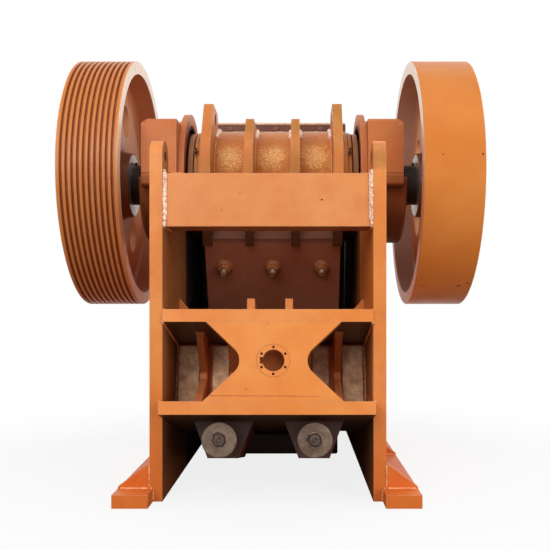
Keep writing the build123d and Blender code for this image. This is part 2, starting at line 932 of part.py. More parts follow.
def rod_disc():
    """Thrust disc at the rear end of the rod, recessed round the nut."""
    disc = along_rod(Circle(disc_r), 0, disc_thick)
    disc = chamfer(disc.edges().filter_by(GeomType.CIRCLE), disc_edge)
    disc -= along_rod(Circle(disc_recess_r), 0, disc_recess_deep)
    return rod_place * (disc - along_rod(Circle(rod_r + run_clear), 0, disc_thick))


def rod_pin():
    """Pin through the eye of the rod and its two lugs."""
    half = lug_at + lug_thick / 2 + pin_out
    return Pos(rod_x, 0, 0) * cross_bar(-half, half, pin_r, (rod_pin_y, rod_pin_z))


def rod_spring():
    """Coil spring between the disc and the bracket, with room for the rod's travel inside."""
    start = disc_thick + spring_gap + spring_wire_r
    length = bracket_at - start - spring_wire_r - spring_rest
    coil_r = (slack_r + spring_wire_r) / cos(pi / spring_sides)
    count = spring_turns * spring_sides
    turns = [2 * pi * number / spring_sides for number in range(count + 1)]
    path = Polyline([
        (coil_r * cos(turn), coil_r * sin(turn), length * turn / turns[-1])
        for turn in turns
    ])
    place = Plane(origin=path @ 0, x_dir=(1, 0, 0), z_dir=path % 0)
    wire = RegularPolygon(spring_wire_r, 8, major_radius=False, rotation=180 / 8)
    coil = sweep(place * wire, path=path, transition=Transition.RIGHT)
    return rod_place * Location((0, start, throw), (-90, 0, 0)) * coil


def rod_bracket():
    """Tapered plate under the toggle box, with the slack hole that the rod passes through."""
    outline = make_face(Polyline([
        (-bracket_low_half, -bracket_low),
        (bracket_low_half, -bracket_low),
        (bracket_top_half, bracket_high),
        (-bracket_top_half, bracket_high),
    ], close=True))
    outline -= Pos(0, throw) * Circle(slack_r)
    plate = rod_place * along_rod(outline, bracket_at, bracket_at + bracket_thick)
    reach = lower_shelf_depth
    return plate - box_place * slab(-inner_half, inner_half, -reach, reach, box_low, box_ceiling)


def rod_lug(x_middle):
    """Lug under the toggle block, beside a rod's eye."""
    corners = [
        (rod_pin_y - lug_top_half, block_low_z),
        (rod_pin_y + lug_top_half, block_low_z),
        (rod_pin_y + lug_low_half, lug_low_z, lug_round),
        (rod_pin_y - lug_low_half, lug_low_z, lug_round),
    ]
    near = x_middle - lug_thick / 2
    lug = side_shape(corners, near, near + lug_thick)
    return lug - cross_bar(near, near + lug_thick, pin_r + run_clear, (rod_pin_y, rod_pin_z))


# Sub-parts
upper_shelf = slab(-inner_half, inner_half, 0, upper_shelf_depth, box_ceiling, 0)
lower_shelf = slab(-inner_half, inner_half, 0, lower_shelf_depth, box_low, box_floor)
box_front = slab(-inner_half, inner_half, box_wall_at, upper_shelf_depth, box_floor, box_ceiling)
cap_right = bearing_cap() + cap_cover()
nodes = {
    "side_plate_left": left_of(side_plate()),
    "side_plate_right": side_plate(),
    "rear_top_beam": top_beam(),
    "toggle_box_top_plate": box_place * upper_shelf,
    "toggle_box_bottom_plate": box_place * lower_shelf,
    "toggle_box_web_plate": box_place * web_plate(),
    "toggle_box_ribs": box_place * group(*[pair(box_rib(x)) for x in box_rib_places]),
    "toggle_box_front_plate": box_place * box_front,
    "toggle_shim_packs": box_place * group(pair(shim_pack(inner_shims)), pair(shim_pack(outer_shims))),
    "toggle_seat": box_place * toggle_seat(),
    "toggle_plate": box_place * toggle_plate(),
    "shelf_gussets": box_place * group(pair(shelf_rib()), pair(corner_gusset())),
    "rod_brackets": pair(rod_bracket()),
    "rod_springs": pair(rod_spring()),
    "front_wall": wall_slab(wall_low_z, front_top_z, 0, wall_thick, -inner_half, inner_half),
    "front_wall_ribs": front_ribs(),
    "fixed_jaw_liner": fixed_liner(),
    "cheek_plate_left": left_of(cheek_plate()),
    "cheek_plate_right": cheek_plate(),
    "base_flange_left": left_of(base_flange()),
    "base_flange_right": base_flange(),
    "base_gussets": group(*[pair(foot_gusset(y)) for y in foot_gusset_places]),
    "bearing_seat_left": left_of(bearing_seat()),
    "bearing_seat_right": bearing_seat(),
    "bearing_cap_left": left_of(cap_right),
    "bearing_cap_right": cap_right,
    "eccentric_shaft": eccentric_shaft(),
    "shaft_collars": pair(shaft_collar()),
    "sheave_left": left_of(flywheel(True, sheave_hole_turn)),
    "flywheel_right": flywheel(False, flywheel_hole_turn),
    "jaw_barrel": jaw_barrel(),
    "jaw_barrel_end_plates": pair(barrel_end_plate()),
    "jaw_face_plate": face_plate(),
    "jaw_back_plate": back_plate(),
    "jaw_toggle_block": toggle_block() - toggle_pocket(),
    "jaw_floor": jaw_floor(),
    "jaw_body_ribs": group(*[pair(body_rib(x)) for x in body_rib_places]),
    "jaw_outer_head_ribs": pair(outer_head_rib()),
    "jaw_inner_head_ribs": pair(head_rib(inner_rib_at, inner_rib_thick, inner_rib_top_z)),
    "jaw_guard_plate": jaw_guard(),
    "swing_jaw_liner": swing_liner(),
    "rod_lugs": group(*[pair(rod_lug(rod_x + side * lug_at)) for side in (-1, 1)]),
    "tension_rods": pair(tension_rod()),
    "rod_discs": pair(rod_disc()),
    "rod_pins": pair(rod_pin()),
}

os.makedirs("parts", exist_ok=True)
for name, shape in nodes.items():
    export_step(Pos(0, -y_mid, 0) * shape, f"parts/{name}.step")
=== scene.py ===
import bpy
import bmesh
import json
import math
import random
from mathutils import Matrix, Vector, noise

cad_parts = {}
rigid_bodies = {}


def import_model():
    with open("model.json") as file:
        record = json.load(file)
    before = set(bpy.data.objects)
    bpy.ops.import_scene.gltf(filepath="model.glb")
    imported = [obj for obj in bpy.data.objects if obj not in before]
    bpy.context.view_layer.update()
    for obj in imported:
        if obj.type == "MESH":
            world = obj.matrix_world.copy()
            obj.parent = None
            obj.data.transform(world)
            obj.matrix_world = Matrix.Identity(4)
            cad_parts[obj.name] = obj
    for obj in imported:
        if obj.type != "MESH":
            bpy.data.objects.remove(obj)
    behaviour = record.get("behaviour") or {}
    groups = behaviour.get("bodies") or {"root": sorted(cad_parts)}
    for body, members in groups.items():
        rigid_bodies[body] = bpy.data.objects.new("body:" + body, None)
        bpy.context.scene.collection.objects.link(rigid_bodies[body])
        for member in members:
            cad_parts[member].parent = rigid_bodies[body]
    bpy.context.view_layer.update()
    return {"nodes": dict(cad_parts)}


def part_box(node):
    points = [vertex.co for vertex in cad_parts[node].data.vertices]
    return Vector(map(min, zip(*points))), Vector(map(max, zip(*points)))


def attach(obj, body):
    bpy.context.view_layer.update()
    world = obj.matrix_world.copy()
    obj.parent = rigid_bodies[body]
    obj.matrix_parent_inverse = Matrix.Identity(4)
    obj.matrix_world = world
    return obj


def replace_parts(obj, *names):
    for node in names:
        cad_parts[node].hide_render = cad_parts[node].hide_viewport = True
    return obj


for old in list(bpy.data.objects):
    bpy.data.objects.remove(old)
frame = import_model()
nodes = frame["nodes"]
scene = bpy.context.scene

# Places of the part in metres. Lengths along Y are given from the rear edges of the side plates.
Y_MID = 1.1149416
SIDES = ((-1, "left"), (1, "right"))
SHAFT_Y, SHAFT_Z, THROW = 1.093, 1.622, 0.012
BARREL_Z = SHAFT_Z - THROW
WHEEL_R = 0.71
INNER, OUTER = 0.486, 0.546
TILT = math.radians(15)
BOX_FOOT, BOX_TALL = 0.4175, 0.486
BOX_TOP = BOX_FOOT + BOX_TALL * math.cos(TILT)
JAW_TILT, JAW_BACK = math.radians(28), -0.518
WALL_TILT, WALL_FOOT, WALL_SLOPE, WALL_SQUARE = math.radians(6), 2.05052, 0.1051, 1.0055
WALL_THICK = 0.060
EAR_HOLE_Y, EAR_HOLE_Z, EAR_HOLE_R = 0.0825, 1.604, 0.0255
RIB_HOLE_Y, RIB_HOLE_Z, RIB_HOLE_R = 0.852, 1.958, 0.031
ROD_X, ROD_Y, ROD_Z = 0.2145, -0.110, 0.302
PIN_Y, PIN_Z = 1.160, 0.072


def at(x, y, z):
    """Point of the row frame, with Y given from the rear edges of the side plates."""
    return Vector((x, y - Y_MID, z))


def box_at(x, depth, height):
    """Point of the tilted toggle box: depth from its rear, height from its top."""
    y = depth * math.cos(TILT) + height * math.sin(TILT)
    z = BOX_TOP - depth * math.sin(TILT) + height * math.cos(TILT)
    return at(x, y, z)


def jaw_point(forward, down):
    """(y, z) reached from the barrel's axis: forward, square to the jaw's back, and down along it."""
    return (SHAFT_Y + forward * math.cos(JAW_TILT) + down * math.sin(JAW_TILT),
            BARREL_Z + forward * math.sin(JAW_TILT) - down * math.cos(JAW_TILT))


def wall_y(z, out):
    """Y of the plane that lies out from the inner face of the front wall."""
    return WALL_FOOT + WALL_SLOPE * z + out * WALL_SQUARE


def rod_frame(side):
    """Matrix of a tension rod, with Y forward along it from the centre of its disc."""
    tilt = math.atan2(ROD_Z - PIN_Z, PIN_Y - ROD_Y)
    return Matrix.Translation(at(side * ROD_X, ROD_Y, ROD_Z)) @ Matrix.Rotation(-tilt, 4, "X")


# Shader helpers


def srgb(code):
    """Linear colour from a hex code."""
    out = []
    for i in (1, 3, 5):
        v = int(code[i:i + 2], 16) / 255
        out.append(v / 12.92 if v <= 0.04045 else ((v + 0.055) / 1.055) ** 2.4)
    return (*out, 1.0)


class Nodes:
    """A node tree under construction."""

    def __init__(self, tree):
        self.tree = tree
        tree.nodes.clear()

    def add(self, kind, inputs=(), **settings):
        """Node with its settings. Its inputs are pairs of a socket's name or number and what goes there."""
        node = self.tree.nodes.new(kind)
        for key, value in settings.items():
            setattr(node, key, value)
        for key, value in dict(inputs).items():
            self.put(node.inputs[key], value)
        return node

    def put(self, socket, value):
        """Links or sets a socket, or leaves it be for None. A hex code stands for its linear colour."""
        if isinstance(value, str):
            value = srgb(value)
        if isinstance(value, bpy.types.NodeSocket):
            self.tree.links.new(value, socket)
        elif value is not None:
            socket.default_value = value

    def math(self, op, *values, clamp=False):
        return self.add("ShaderNodeMath", enumerate(values), operation=op, use_clamp=clamp).outputs[0]

    def times(self, a, b, clamp=False):
        return self.math("MULTIPLY", a, b, clamp=clamp)

    def plus(self, a, b, clamp=False):
        return self.math("ADD", a, b, clamp=clamp)

    def minus(self, a, b, clamp=False):
        return self.math("SUBTRACT", a, b, clamp=clamp)

    def most(self, a, b):
        return self.math("MAXIMUM", a, b)

    def mixed(self, fac, a, b):
        """Mix of two shaders."""
        return self.add("ShaderNodeMixShader", {0: fac, 1: a, 2: b}).outputs[0]


class Shade(Nodes):
    """A material under construction."""

    def __init__(self, name, rough=0.4, metal=0.0, spec=0.5, coat=0.0, coat_rough=0.1, tint=None):
        self.mat = bpy.data.materials.new(name)
        self.mat.use_nodes = True
        super().__init__(self.mat.node_tree)
        self.bsdf = self.add("ShaderNodeBsdfPrincipled", {
            "Roughness": rough, "Metallic": metal, "Specular IOR Level": spec, "Specular Tint": tint,
            "Coat Weight": coat, "Coat Roughness": coat_rough})
        self.out = self.add("ShaderNodeOutputMaterial", {"Surface": self.bsdf.outputs[0]})
        self.place = self.add("ShaderNodeTexCoord").outputs["Object"]
        self.normal = self.colour = None

    def stretch(self, scale, turn=(0, 0, 0)):
        inputs = {"Vector": self.place, "Scale": scale, "Rotation": turn}
        return self.add("ShaderNodeMapping", inputs).outputs[0]

    def noise(self, scale, detail=3.0, rough=0.55, vector=None, twist=0.0):
        inputs = {"Vector": vector or self.place, "Scale": scale, "Detail": detail, "Roughness": rough,
                  "Distortion": twist}
        return self.add("ShaderNodeTexNoise", inputs).outputs["Fac"]

    def cells(self, scale):
        return self.add("ShaderNodeTexVoronoi", {"Vector": self.place, "Scale": scale}).outputs["Distance"]

    def band(self, value, low, high, to_low=0.0, to_high=1.0):
        inputs = {"Value": value, "From Min": low, "From Max": high, "To Min": to_low, "To Max": to_high}
        return self.add("ShaderNodeMapRange", inputs, interpolation_type="SMOOTHSTEP").outputs[0]

    def fade(self, value, low, high, top=1.0):
        """The top value under low, falling to 0 at high."""
        return self.band(value, low, high, top, 0.0)

    def blend(self, fac, a, b):
        return self.add("ShaderNodeMix", {0: fac, 6: a, 7: b}, data_type="RGBA").outputs[2]

    def xyz(self):
        return self.add("ShaderNodeSeparateXYZ", {0: self.place}).outputs

    def radius(self, y, z):
        """Distance from an axis along X."""
        here = self.xyz()
        dy = self.minus(here[1], y)
        dz = self.minus(here[2], z)
        return self.math("SQRT", self.plus(self.times(dy, dy), self.times(dz, dz)))

    def away_from(self, point):
        """Distance from a point."""
        inputs = {0: self.place, 1: point}
        return self.add("ShaderNodeVectorMath", inputs, operation="DISTANCE").outputs["Value"]

    def spot(self, centre, size):
        """Small blot round a point, with a ragged edge."""
        ragged = self.math("MULTIPLY_ADD", self.noise(160, 2), size * 1.3, self.away_from(centre))
        return self.fade(ragged, size * 1.3, size * 2.0)

    def edge(self, radius):
        """Rounds the edges and returns a mask that is 1 along them."""
        self.normal = self.add("ShaderNodeBevel", {"Radius": radius}, samples=4).outputs[0]
        true = self.add("ShaderNodeNewGeometry").outputs["Normal"]
        dot = self.add("ShaderNodeVectorMath", {0: self.normal, 1: true}, operation="DOT_PRODUCT")
        return self.fade(dot.outputs["Value"], 0.86, 0.995)

    def bump(self, height, strength, distance):
        inputs = {"Strength": strength, "Distance": distance, "Height": height, "Normal": self.normal}
        self.normal = self.add("ShaderNodeBump", inputs).outputs[0]

    def lay(self, mask, colour):
        """Lays a colour over the present one."""
        self.colour = self.blend(mask, self.colour, colour)

    def finish(self, rough=None, metal=None):
        made = {"Base Color": self.colour, "Roughness": rough, "Metallic": metal, "Normal": self.normal}
        for name, value in made.items():
            self.put(self.bsdf.inputs[name], value)
        return self.mat


PALE, BASE, DEEP = "#E99552", "#DD833E", "#CC6424"
# The third of these colours is the pale cream of worn edges, partly a painted highlight, and the last is the
# near black laid on as painted shade.
RUST, DIRT, WORN_HIGHLIT_CREAM, SHADE_DARK = "#5A2C16", "#6B3A20", "#F3D9BE", "#241410"


def inside_shade(s):
    """Painted shade on the inner faces of the side plates: on the left plate from the rear, on both darkest
    behind the swing jaw, in the toggle box between its shelves and near the floor; and painted shade inside
    the ear holes.
    """
    x, y, z = s.xyz()
    inner = s.fade(s.math("ABSOLUTE", x), INNER + 0.0004, INNER + 0.0016)
    deep = s.times(s.band(y, -Y_MID, 0.20 - Y_MID, 0.52, 0.66), s.fade(x, -0.1, 0.1))
    black = s.band(y, 0.765 - Y_MID, 0.80 - Y_MID, 0.0, 0.46)
    low = s.fade(z, 0.34, 0.52, 0.72)
    pocket = s.times(s.band(z, 0.43, 0.47), s.fade(z, 0.86, 0.90, 0.55))
    pocket = s.times(pocket, s.band(y, 0.01 - Y_MID, 0.14 - Y_MID))
    low = s.most(low, pocket)
    faces = s.times(inner, s.most(s.plus(deep, black), low), clamp=True)
    return s.most(faces, s.fade(s.radius(EAR_HOLE_Y - Y_MID, EAR_HOLE_Z), 0.0258, 0.0266, 0.85))


def ear_stain(s):
    """Brown stain on the right ear."""
    x, _, z = s.xyz()
    tall = s.times(s.band(z, 1.520, 1.552), s.fade(z, 1.640, 1.672))
    ragged = s.band(s.noise(22, 4, 0.6), 0.25, 0.55, 0.55, 1.0)
    side = s.band(x, -0.1, 0.1, 0.0, 0.50)
    return s.times(s.times(tall, ragged), side)


def ring_shade(s):
    """Darkening inside the opening of the bearing housing and in its bore, painted shade on the seat under
    its split line, and a dark line along the split.
    """
    x, _, z = s.xyz()
    away = s.math("ABSOLUTE", x)
    r = s.radius(SHAFT_Y - Y_MID, SHAFT_Z)
    # Darker inside the opening and the bore.
    grease = s.times(s.fade(r, 0.347, 0.351), s.fade(away, 0.4868, 0.4874))
    bore = s.times(s.fade(r, 0.3302, 0.3312), s.fade(away, 0.53, 0.54))
    grease = s.most(grease, bore)
    seat = s.times(s.fade(z, 1.600, 1.6215, 0.42), s.band(away, 0.54, 0.546))
    line = s.times(s.fade(s.math("ABSOLUTE", s.minus(z, SHAFT_Z)), 0.001, 0.0032, 0.9),
                  s.band(away, 0.546, 0.547))
    return s.most(s.times(grease, 0.9), s.most(seat, line))


def low_shade(s):
    """Painted shade low on the barrel, under the beam."""
    return s.fade(s.xyz()[2], 1.39, 1.58, 0.84)


def back_shade(s):
    """Painted shade high on the back of the jaw, under the beam."""
    return s.band(s.xyz()[2], 1.235, 1.275, 0.0, 0.66)


def rib_shade(s):
    """Painted shade low on the head ribs and in their lifting holes."""
    hole = s.fade(s.radius(RIB_HOLE_Y - Y_MID, RIB_HOLE_Z), 0.0313, 0.0322, 0.85)
    return s.most(hole, low_shade(s))


def paint(name, base=BASE, pale=PALE, deep=DEEP, rough=0.42, cast=0.0, wear=1.0, dirt=0.5,
          deepen=None, edge=0.0045, marks=(), bleach=0.35, under=0.55, shade=None, spec=0.22, coat=0.04,
          tint=None, crown=None, stain=0.0, gilt=()):
    """Orange paint. cast is how lumpy the metal under it is, the pair of heights for darkening towards the
    bottom gives painted shade there in the deep tone, under is how strongly the faces that look down get
    painted shade, shade returns a mask of further painted shade, crown is the height above which the rear of
    the top gets a painted highlight, and the centres for painted highlights each get a pale gold patch."""
    s = Shade(name, rough, spec=spec, coat=coat, coat_rough=0.25, tint=tint)
    ridge = s.edge(edge)
    broad = s.noise(1.7, 4, 0.6)
    fine = s.noise(9, 5, 0.6)
    s.colour = s.blend(s.band(broad, 0.38, 0.68), base, pale)
    s.lay(s.band(fine, 0.35, 0.75, 0.0, 0.3), deep)
    # Painted shade: darker towards the bottom, in the deep tone.
    if deepen:
        s.lay(s.fade(s.xyz()[2], *deepen, 0.75), deep)
    streak = s.noise(1.0, 4, 0.6, s.stretch((30, 30, 1.4)))
    s.lay(s.band(streak, 0.5, 0.8, 0.0, 0.16 * dirt), DIRT)
    smudge = s.noise(4.2, 6, 0.68, twist=0.6)
    grime = s.band(smudge, 0.56, 0.78, 0.0, 0.42 * dirt)
    s.lay(grime, DIRT)
    # Painted highlights: pale gold patches with glints round each given centre.
    for centre in gilt:
        reach = s.math("MULTIPLY_ADD", s.noise(13, 4, 0.6), 0.11, s.away_from(centre))
        highlight_core = s.times(s.fade(reach, 0.055, 0.150, 0.58),
                        s.band(s.noise(60, 3, 0.6), 0.35, 0.60, 0.5, 1.0))
        highlight_glints = s.times(s.fade(reach, 0.100, 0.170, 0.9),
                        s.band(s.noise(130, 3, 0.6), 0.50, 0.60))
        s.lay(s.most(highlight_core, highlight_glints), "#FFCE86")
    if stain:
        tall = s.noise(6, 5, 0.6, s.stretch((1.0, 1.0, 0.35)))
        s.lay(s.band(tall, 0.46, 0.66, 0.0, stain), "#A8702A")
    # Edges lightened to pale cream: paint wear that is partly a painted highlight along the edges. With a
    # crown, the top edge gets a white painted highlight, and the edges take the same white.
    worn = s.times(ridge, s.band(s.noise(38, 4, 0.65), 0.36, 0.62, 0.25, 1.0))
    if crown:
        _, y, z = s.xyz()
        top = s.times(s.band(z, crown - 0.006, crown), s.band(s.noise(40, 4), 0.3, 0.5, 0.6, 1.0))
        top = s.times(top, s.fade(y, 1.046 - Y_MID, 1.058 - Y_MID))
        worn = s.most(worn, top)
    s.lay(s.times(worn, bleach), "#FFF0E0" if crown else WORN_HIGHLIT_CREAM)
    nick = s.times(ridge, s.band(s.noise(75, 3, 0.7), 0.66, 0.72))
    chip = s.band(s.plus(s.noise(24, 5, 0.72), s.times(s.noise(3.1, 2), 0.22)), 0.835, 0.855)
    chip = s.most(chip, s.times(nick, 0.8))
    scratch = s.times(s.band(s.noise(1.0, 1, 0.4, s.stretch((5, 5, 210), (0.5, 0.3, 0))), 0.735, 0.76),
                     s.band(s.noise(5, 2), 0.6, 0.66))
    chip = s.times(s.most(chip, s.times(scratch, 0.6)), wear, clamp=True)
    for centre, size in marks:
        chip = s.most(chip, s.spot(centre, size))
    s.lay(chip, RUST)
    # Faces that look down are darkened: painted shade.
    facing = s.add("ShaderNodeSeparateXYZ", {0: s.add("ShaderNodeNewGeometry").outputs["True Normal"]})
    s.lay(s.fade(facing.outputs[2], -0.75, -0.25, under), SHADE_DARK)
    # Painted shade from the mask of shaded places.
    if shade:
        painted_shade_mask = shade(s)
        s.lay(painted_shade_mask, SHADE_DARK)
    if shade is inside_shade:
        s.lay(ear_stain(s), "#8A6030")
    peel = s.noise(240, 2, 0.5)
    soft = s.noise(11, 3, 0.5)
    height = s.plus(s.times(peel, 0.16), s.times(soft, 0.8))
    if cast:
        lumps = s.minus(1.0, s.cells(68))
        lumps = s.times(lumps, s.band(s.noise(15, 3), 0.3, 0.7, 0.3, 1.0))
        height = s.plus(height, s.times(s.plus(lumps, s.noise(48, 5, 0.62)), 1.5 * cast))
    height = s.minus(height, s.times(chip, 0.35))
    s.bump(height, 0.32, 0.0022)
    gloss = s.plus(s.times(s.noise(6, 4), 0.16), rough - 0.07)
    gloss = s.plus(gloss, s.times(s.most(chip, grime), 0.3))
    if shade:
        gloss = s.plus(gloss, s.times(painted_shade_mask, 0.6), clamp=True)
    return s.finish(gloss)


def wheel_paint(name, base, pale, deep, grooves, marks=(), cream_film_level=0.4):
    """Paint of a flywheel, with painted shade in its grooves where there are any, a pale cream film on the
    disc that is partly painted light, a painted reflection on the side face of the rim, and a bare hub face
    whose near white is partly painted glare.
    """
    s = Shade(name, 0.42, spec=0.2, coat=0.03, coat_rough=0.25)
    ridge = s.edge(0.003)
    x = s.xyz()[0]
    away = s.math("ABSOLUTE", x)
    r = s.radius(SHAFT_Y - Y_MID, SHAFT_Z)
    s.colour = s.blend(s.band(s.noise(2.2, 4, 0.6), 0.35, 0.7), base, pale)
    s.lay(s.band(s.noise(7, 5, 0.6), 0.4, 0.75, 0.0, 0.18), deep)
    smudge = s.noise(3.4, 6, 0.7, twist=0.8)
    grime = s.times(s.band(smudge, 0.55, 0.75, 0.0, 0.35), s.band(r, 0.695, 0.705, 1.0, 0.10))
    s.lay(grime, DIRT)
    # A pale cream film on the disc inside the rim, less on the outer face: partly painted light and
    # reflection.
    inside = s.times(s.band(r, 0.20, 0.26), s.fade(r, 0.60, 0.642))
    cream_film_and_light = s.times(inside, s.band(s.noise(5, 5, 0.65), 0.40, 0.60, cream_film_level * 0.75, cream_film_level))
    cream_film_and_light = s.times(cream_film_and_light, s.band(away, 0.93, 0.95, 1.0, 0.45))
    s.lay(cream_film_and_light, "#FBE0C8")
    within = s.times(s.band(r, 0.612, 0.634), s.fade(r, 0.6450, 0.6500))
    s.lay(s.times(within, 0.85), "#BCA394")
    chip = s.band(s.plus(s.noise(21, 5, 0.72), s.times(s.noise(2.7, 2), 0.25)), 0.85, 0.87)
    nick = s.times(ridge, s.band(s.noise(64, 3, 0.7), 0.6, 0.68))
    chip = s.most(chip, nick)
    for centre, size in marks:
        chip = s.most(chip, s.spot(centre, size))
    height = s.plus(s.times(s.noise(230, 2), 0.2), s.times(s.noise(14, 3), 0.6))
    gloss = s.plus(s.times(s.noise(7, 4), 0.16), 0.27)
    if grooves:
        # Land tone over the belt, and painted shade deep in the grooves.
        depth = s.fade(r, 0.6950, 0.7098)
        belt = s.times(s.band(away, 0.788, 0.792), s.fade(away, 1.091, 1.095))
        depth = s.times(s.times(depth, belt), s.band(r, 0.685, 0.6895))
        s.lay(s.times(belt, 0.70), "#C8743A")
        s.lay(s.times(depth, 0.64), "#84381A")
        turned = s.noise(1.0, 3, 0.6, s.stretch((520, 3, 3)))
        height = s.plus(height, s.times(turned, s.times(depth, 0.6)))
    else:
        turned = s.noise(1.0, 3, 0.6, s.stretch((260, 1.5, 1.5)))
        rim = s.band(r, 0.706, 0.7085)
        height = s.plus(height, s.times(turned, s.times(rim, 0.5)))
        s.lay(s.times(rim, s.band(turned, 0.45, 0.75, 0.0, 0.16)), pale)
    hub = s.times(s.fade(r, 0.200, 0.210), s.fade(away, 0.95, 0.97))
    s.lay(s.times(hub, 0.75), "#4E342C")
    # Edges and groove crests lightened: wear that is partly a painted highlight.
    worn = s.times(ridge, s.band(s.noise(30, 4, 0.65), 0.35, 0.6, 0.3, 1.0))
    s.lay(s.times(worn, 0.75 if grooves else 0.4), "#F5C592" if grooves else WORN_HIGHLIT_CREAM)
    # Painted reflection on the side face of the rim, stronger higher up.
    rim_painted_reflection = s.times(s.fade(away, 0.7835, 0.7850), s.band(r, 0.636, 0.641))
    rim_painted_reflection = s.times(rim_painted_reflection, s.band(s.noise(14, 4), 0.25, 0.55, 0.75, 0.95))
    rim_painted_reflection = s.times(rim_painted_reflection, s.band(s.xyz()[2], 1.35, 1.90, 0.35, 1.0))
    s.lay(rim_painted_reflection, "#FFEBD4")
    s.lay(chip, RUST)
    # Bare hub face, near white as partly painted glare.
    bare = s.times(s.fade(r, 0.1795, 0.1815), s.fade(away, 0.8412, 0.8422))
    rings = s.noise(1.0, 2, 0.5, s.stretch((3, 3, 3)))
    bare_metal_and_glare = s.blend(s.band(s.noise(60, 4, 0.7), 0.4, 0.7), "#FBF6EC", "#D6CDBE")
    s.lay(bare, bare_metal_and_glare)
    height = s.plus(height, s.times(s.times(rings, bare), 0.3))
    s.bump(height, 0.3, 0.0018)
    gloss = s.plus(gloss, s.times(s.most(chip, grime), 0.3))
    gloss = s.minus(gloss, s.times(rim_painted_reflection, 0.10))
    return s.finish(gloss, s.times(bare, 0.85))


def steel(name, light, dark, rough=0.42, metal=0.85, rust=0.3, grain=(60, 60, 60), pits=0.5, oil=0.0,
          clean=()):
    """Bare or oily steel with a grain, pits and a little rust, with painted shade in near black everywhere
    but round the given points.
    """
    s = Shade(name, rough, metal, spec=0.5)
    ridge = s.edge(0.0025)
    lines = s.noise(1.0, 4, 0.6, s.stretch(grain))
    s.colour = s.blend(s.band(lines, 0.3, 0.72), dark, light)
    blotch = s.band(s.noise(8, 6, 0.68, twist=0.5), 0.46, 0.66, 0.0, rust)
    s.lay(blotch, "#6A3B20")
    s.lay(s.times(ridge, 0.4), "#B9AE9F")
    if oil:
        s.lay(s.band(s.noise(5, 4), 0.4, 0.65, 0.0, oil), "#14110F")
    dots = s.band(s.noise(110, 3, 0.6), 0.58, 0.7)
    s.lay(s.times(dots, 0.35), "#2A1B12")
    # Painted shade, near black, everywhere but round the given points.
    if clean:
        spread = [s.band(s.away_from(point), 0.0195, 0.0215) for point in clean]
        s.lay(s.times(s.times(*spread), 0.8), SHADE_DARK)
    height = s.plus(s.times(lines, 0.6), s.times(dots, -pits))
    height = s.plus(height, s.times(s.noise(20, 4), 0.5))
    s.bump(height, 0.4, 0.0016)
    gloss = s.plus(s.times(s.noise(14, 4), 0.25), rough - 0.1)
    gloss = s.plus(gloss, s.times(blotch, 0.5))
    return s.finish(gloss, s.minus(metal, s.times(blotch, metal), clamp=True))


def liner_look(name):
    """Manganese steel casting of the liners: grey skin, polished teeth and brown rust."""
    s = Shade(name, 0.55, 0.6, spec=0.4)
    ridge = s.edge(0.006)
    s.colour = s.blend(s.band(s.noise(6, 5, 0.65), 0.35, 0.7), "#4B4642", "#6A625B")
    blotch = s.band(s.noise(3.5, 6, 0.7, twist=0.7), 0.45, 0.66, 0.0, 0.65)
    s.lay(blotch, "#6B4127")
    s.lay(s.times(ridge, s.band(s.noise(26, 4), 0.35, 0.6, 0.2, 0.8)), "#B3ABA2")
    height = s.plus(s.noise(60, 5, 0.65), s.times(s.cells(45), 0.7))
    s.bump(height, 0.5, 0.003)
    gloss = s.plus(s.times(s.noise(12, 4), 0.3), 0.36)
    return s.finish(s.plus(gloss, s.times(blotch, 0.2)),
                    s.minus(0.6, s.times(blotch, 0.6), clamp=True))


def brown_look(name, light, dark, recesses=()):
    """Dull brown steel, as cut or cast, with scratches and painted shade in a recess round each given point.
    """
    s = Shade(name, 0.5, 0.25, spec=0.45)
    ridge = s.edge(0.003)
    s.colour = s.blend(s.band(s.noise(13, 6, 0.7), 0.35, 0.68), dark, light)
    s.lay(s.band(s.noise(42, 4, 0.7), 0.5, 0.72, 0.0, 0.6), "#8E7763")
    s.lay(s.band(s.noise(5, 5, 0.7, twist=1.0), 0.52, 0.68, 0.0, 0.5), "#4A2A17")
    s.lay(s.times(ridge, s.band(s.noise(50, 4), 0.4, 0.6, 0.1, 0.7)), "#C2B3A0")
    # Painted shade in each recess.
    for centre in recesses:
        s.lay(s.fade(s.away_from(centre), 0.032, 0.036, 0.72), SHADE_DARK)
    height = s.plus(s.noise(55, 5, 0.65), s.times(s.noise(160, 3), 0.4))
    s.bump(height, 0.45, 0.0016)
    return s.finish(s.plus(s.times(s.noise(18, 4), 0.3), 0.34))


def weld_look(name, light="#FBE3CC", dark="#D98149"):
    """Painted weld metal in a light and a dark tone mixed by noise."""
    s = Shade(name, 0.3, spec=0.6, coat=0.3, coat_rough=0.12)
    s.colour = s.blend(s.band(s.noise(85, 4, 0.6), 0.36, 0.6), dark, light)
    s.bump(s.noise(190, 3, 0.6), 0.4, 0.0012)
    return s.finish(s.plus(s.times(s.noise(60, 3), 0.2), 0.2))


def plain_metal(name, light, dark, rough, metal):
    """Metal or paint of small pieces, in two tones."""
    s = Shade(name, rough, metal, spec=0.5)
    ridge = s.edge(0.0012)
    s.colour = s.blend(s.band(s.noise(95, 4, 0.65), 0.35, 0.7), dark, light)
    # Edges lightened: wear that is partly a painted highlight.
    s.lay(s.times(ridge, 0.35), WORN_HIGHLIT_CREAM)
    s.bump(s.noise(220, 3, 0.6), 0.35, 0.0008)
    return s.finish(s.plus(s.times(s.noise(70, 3), 0.25), rough - 0.1))


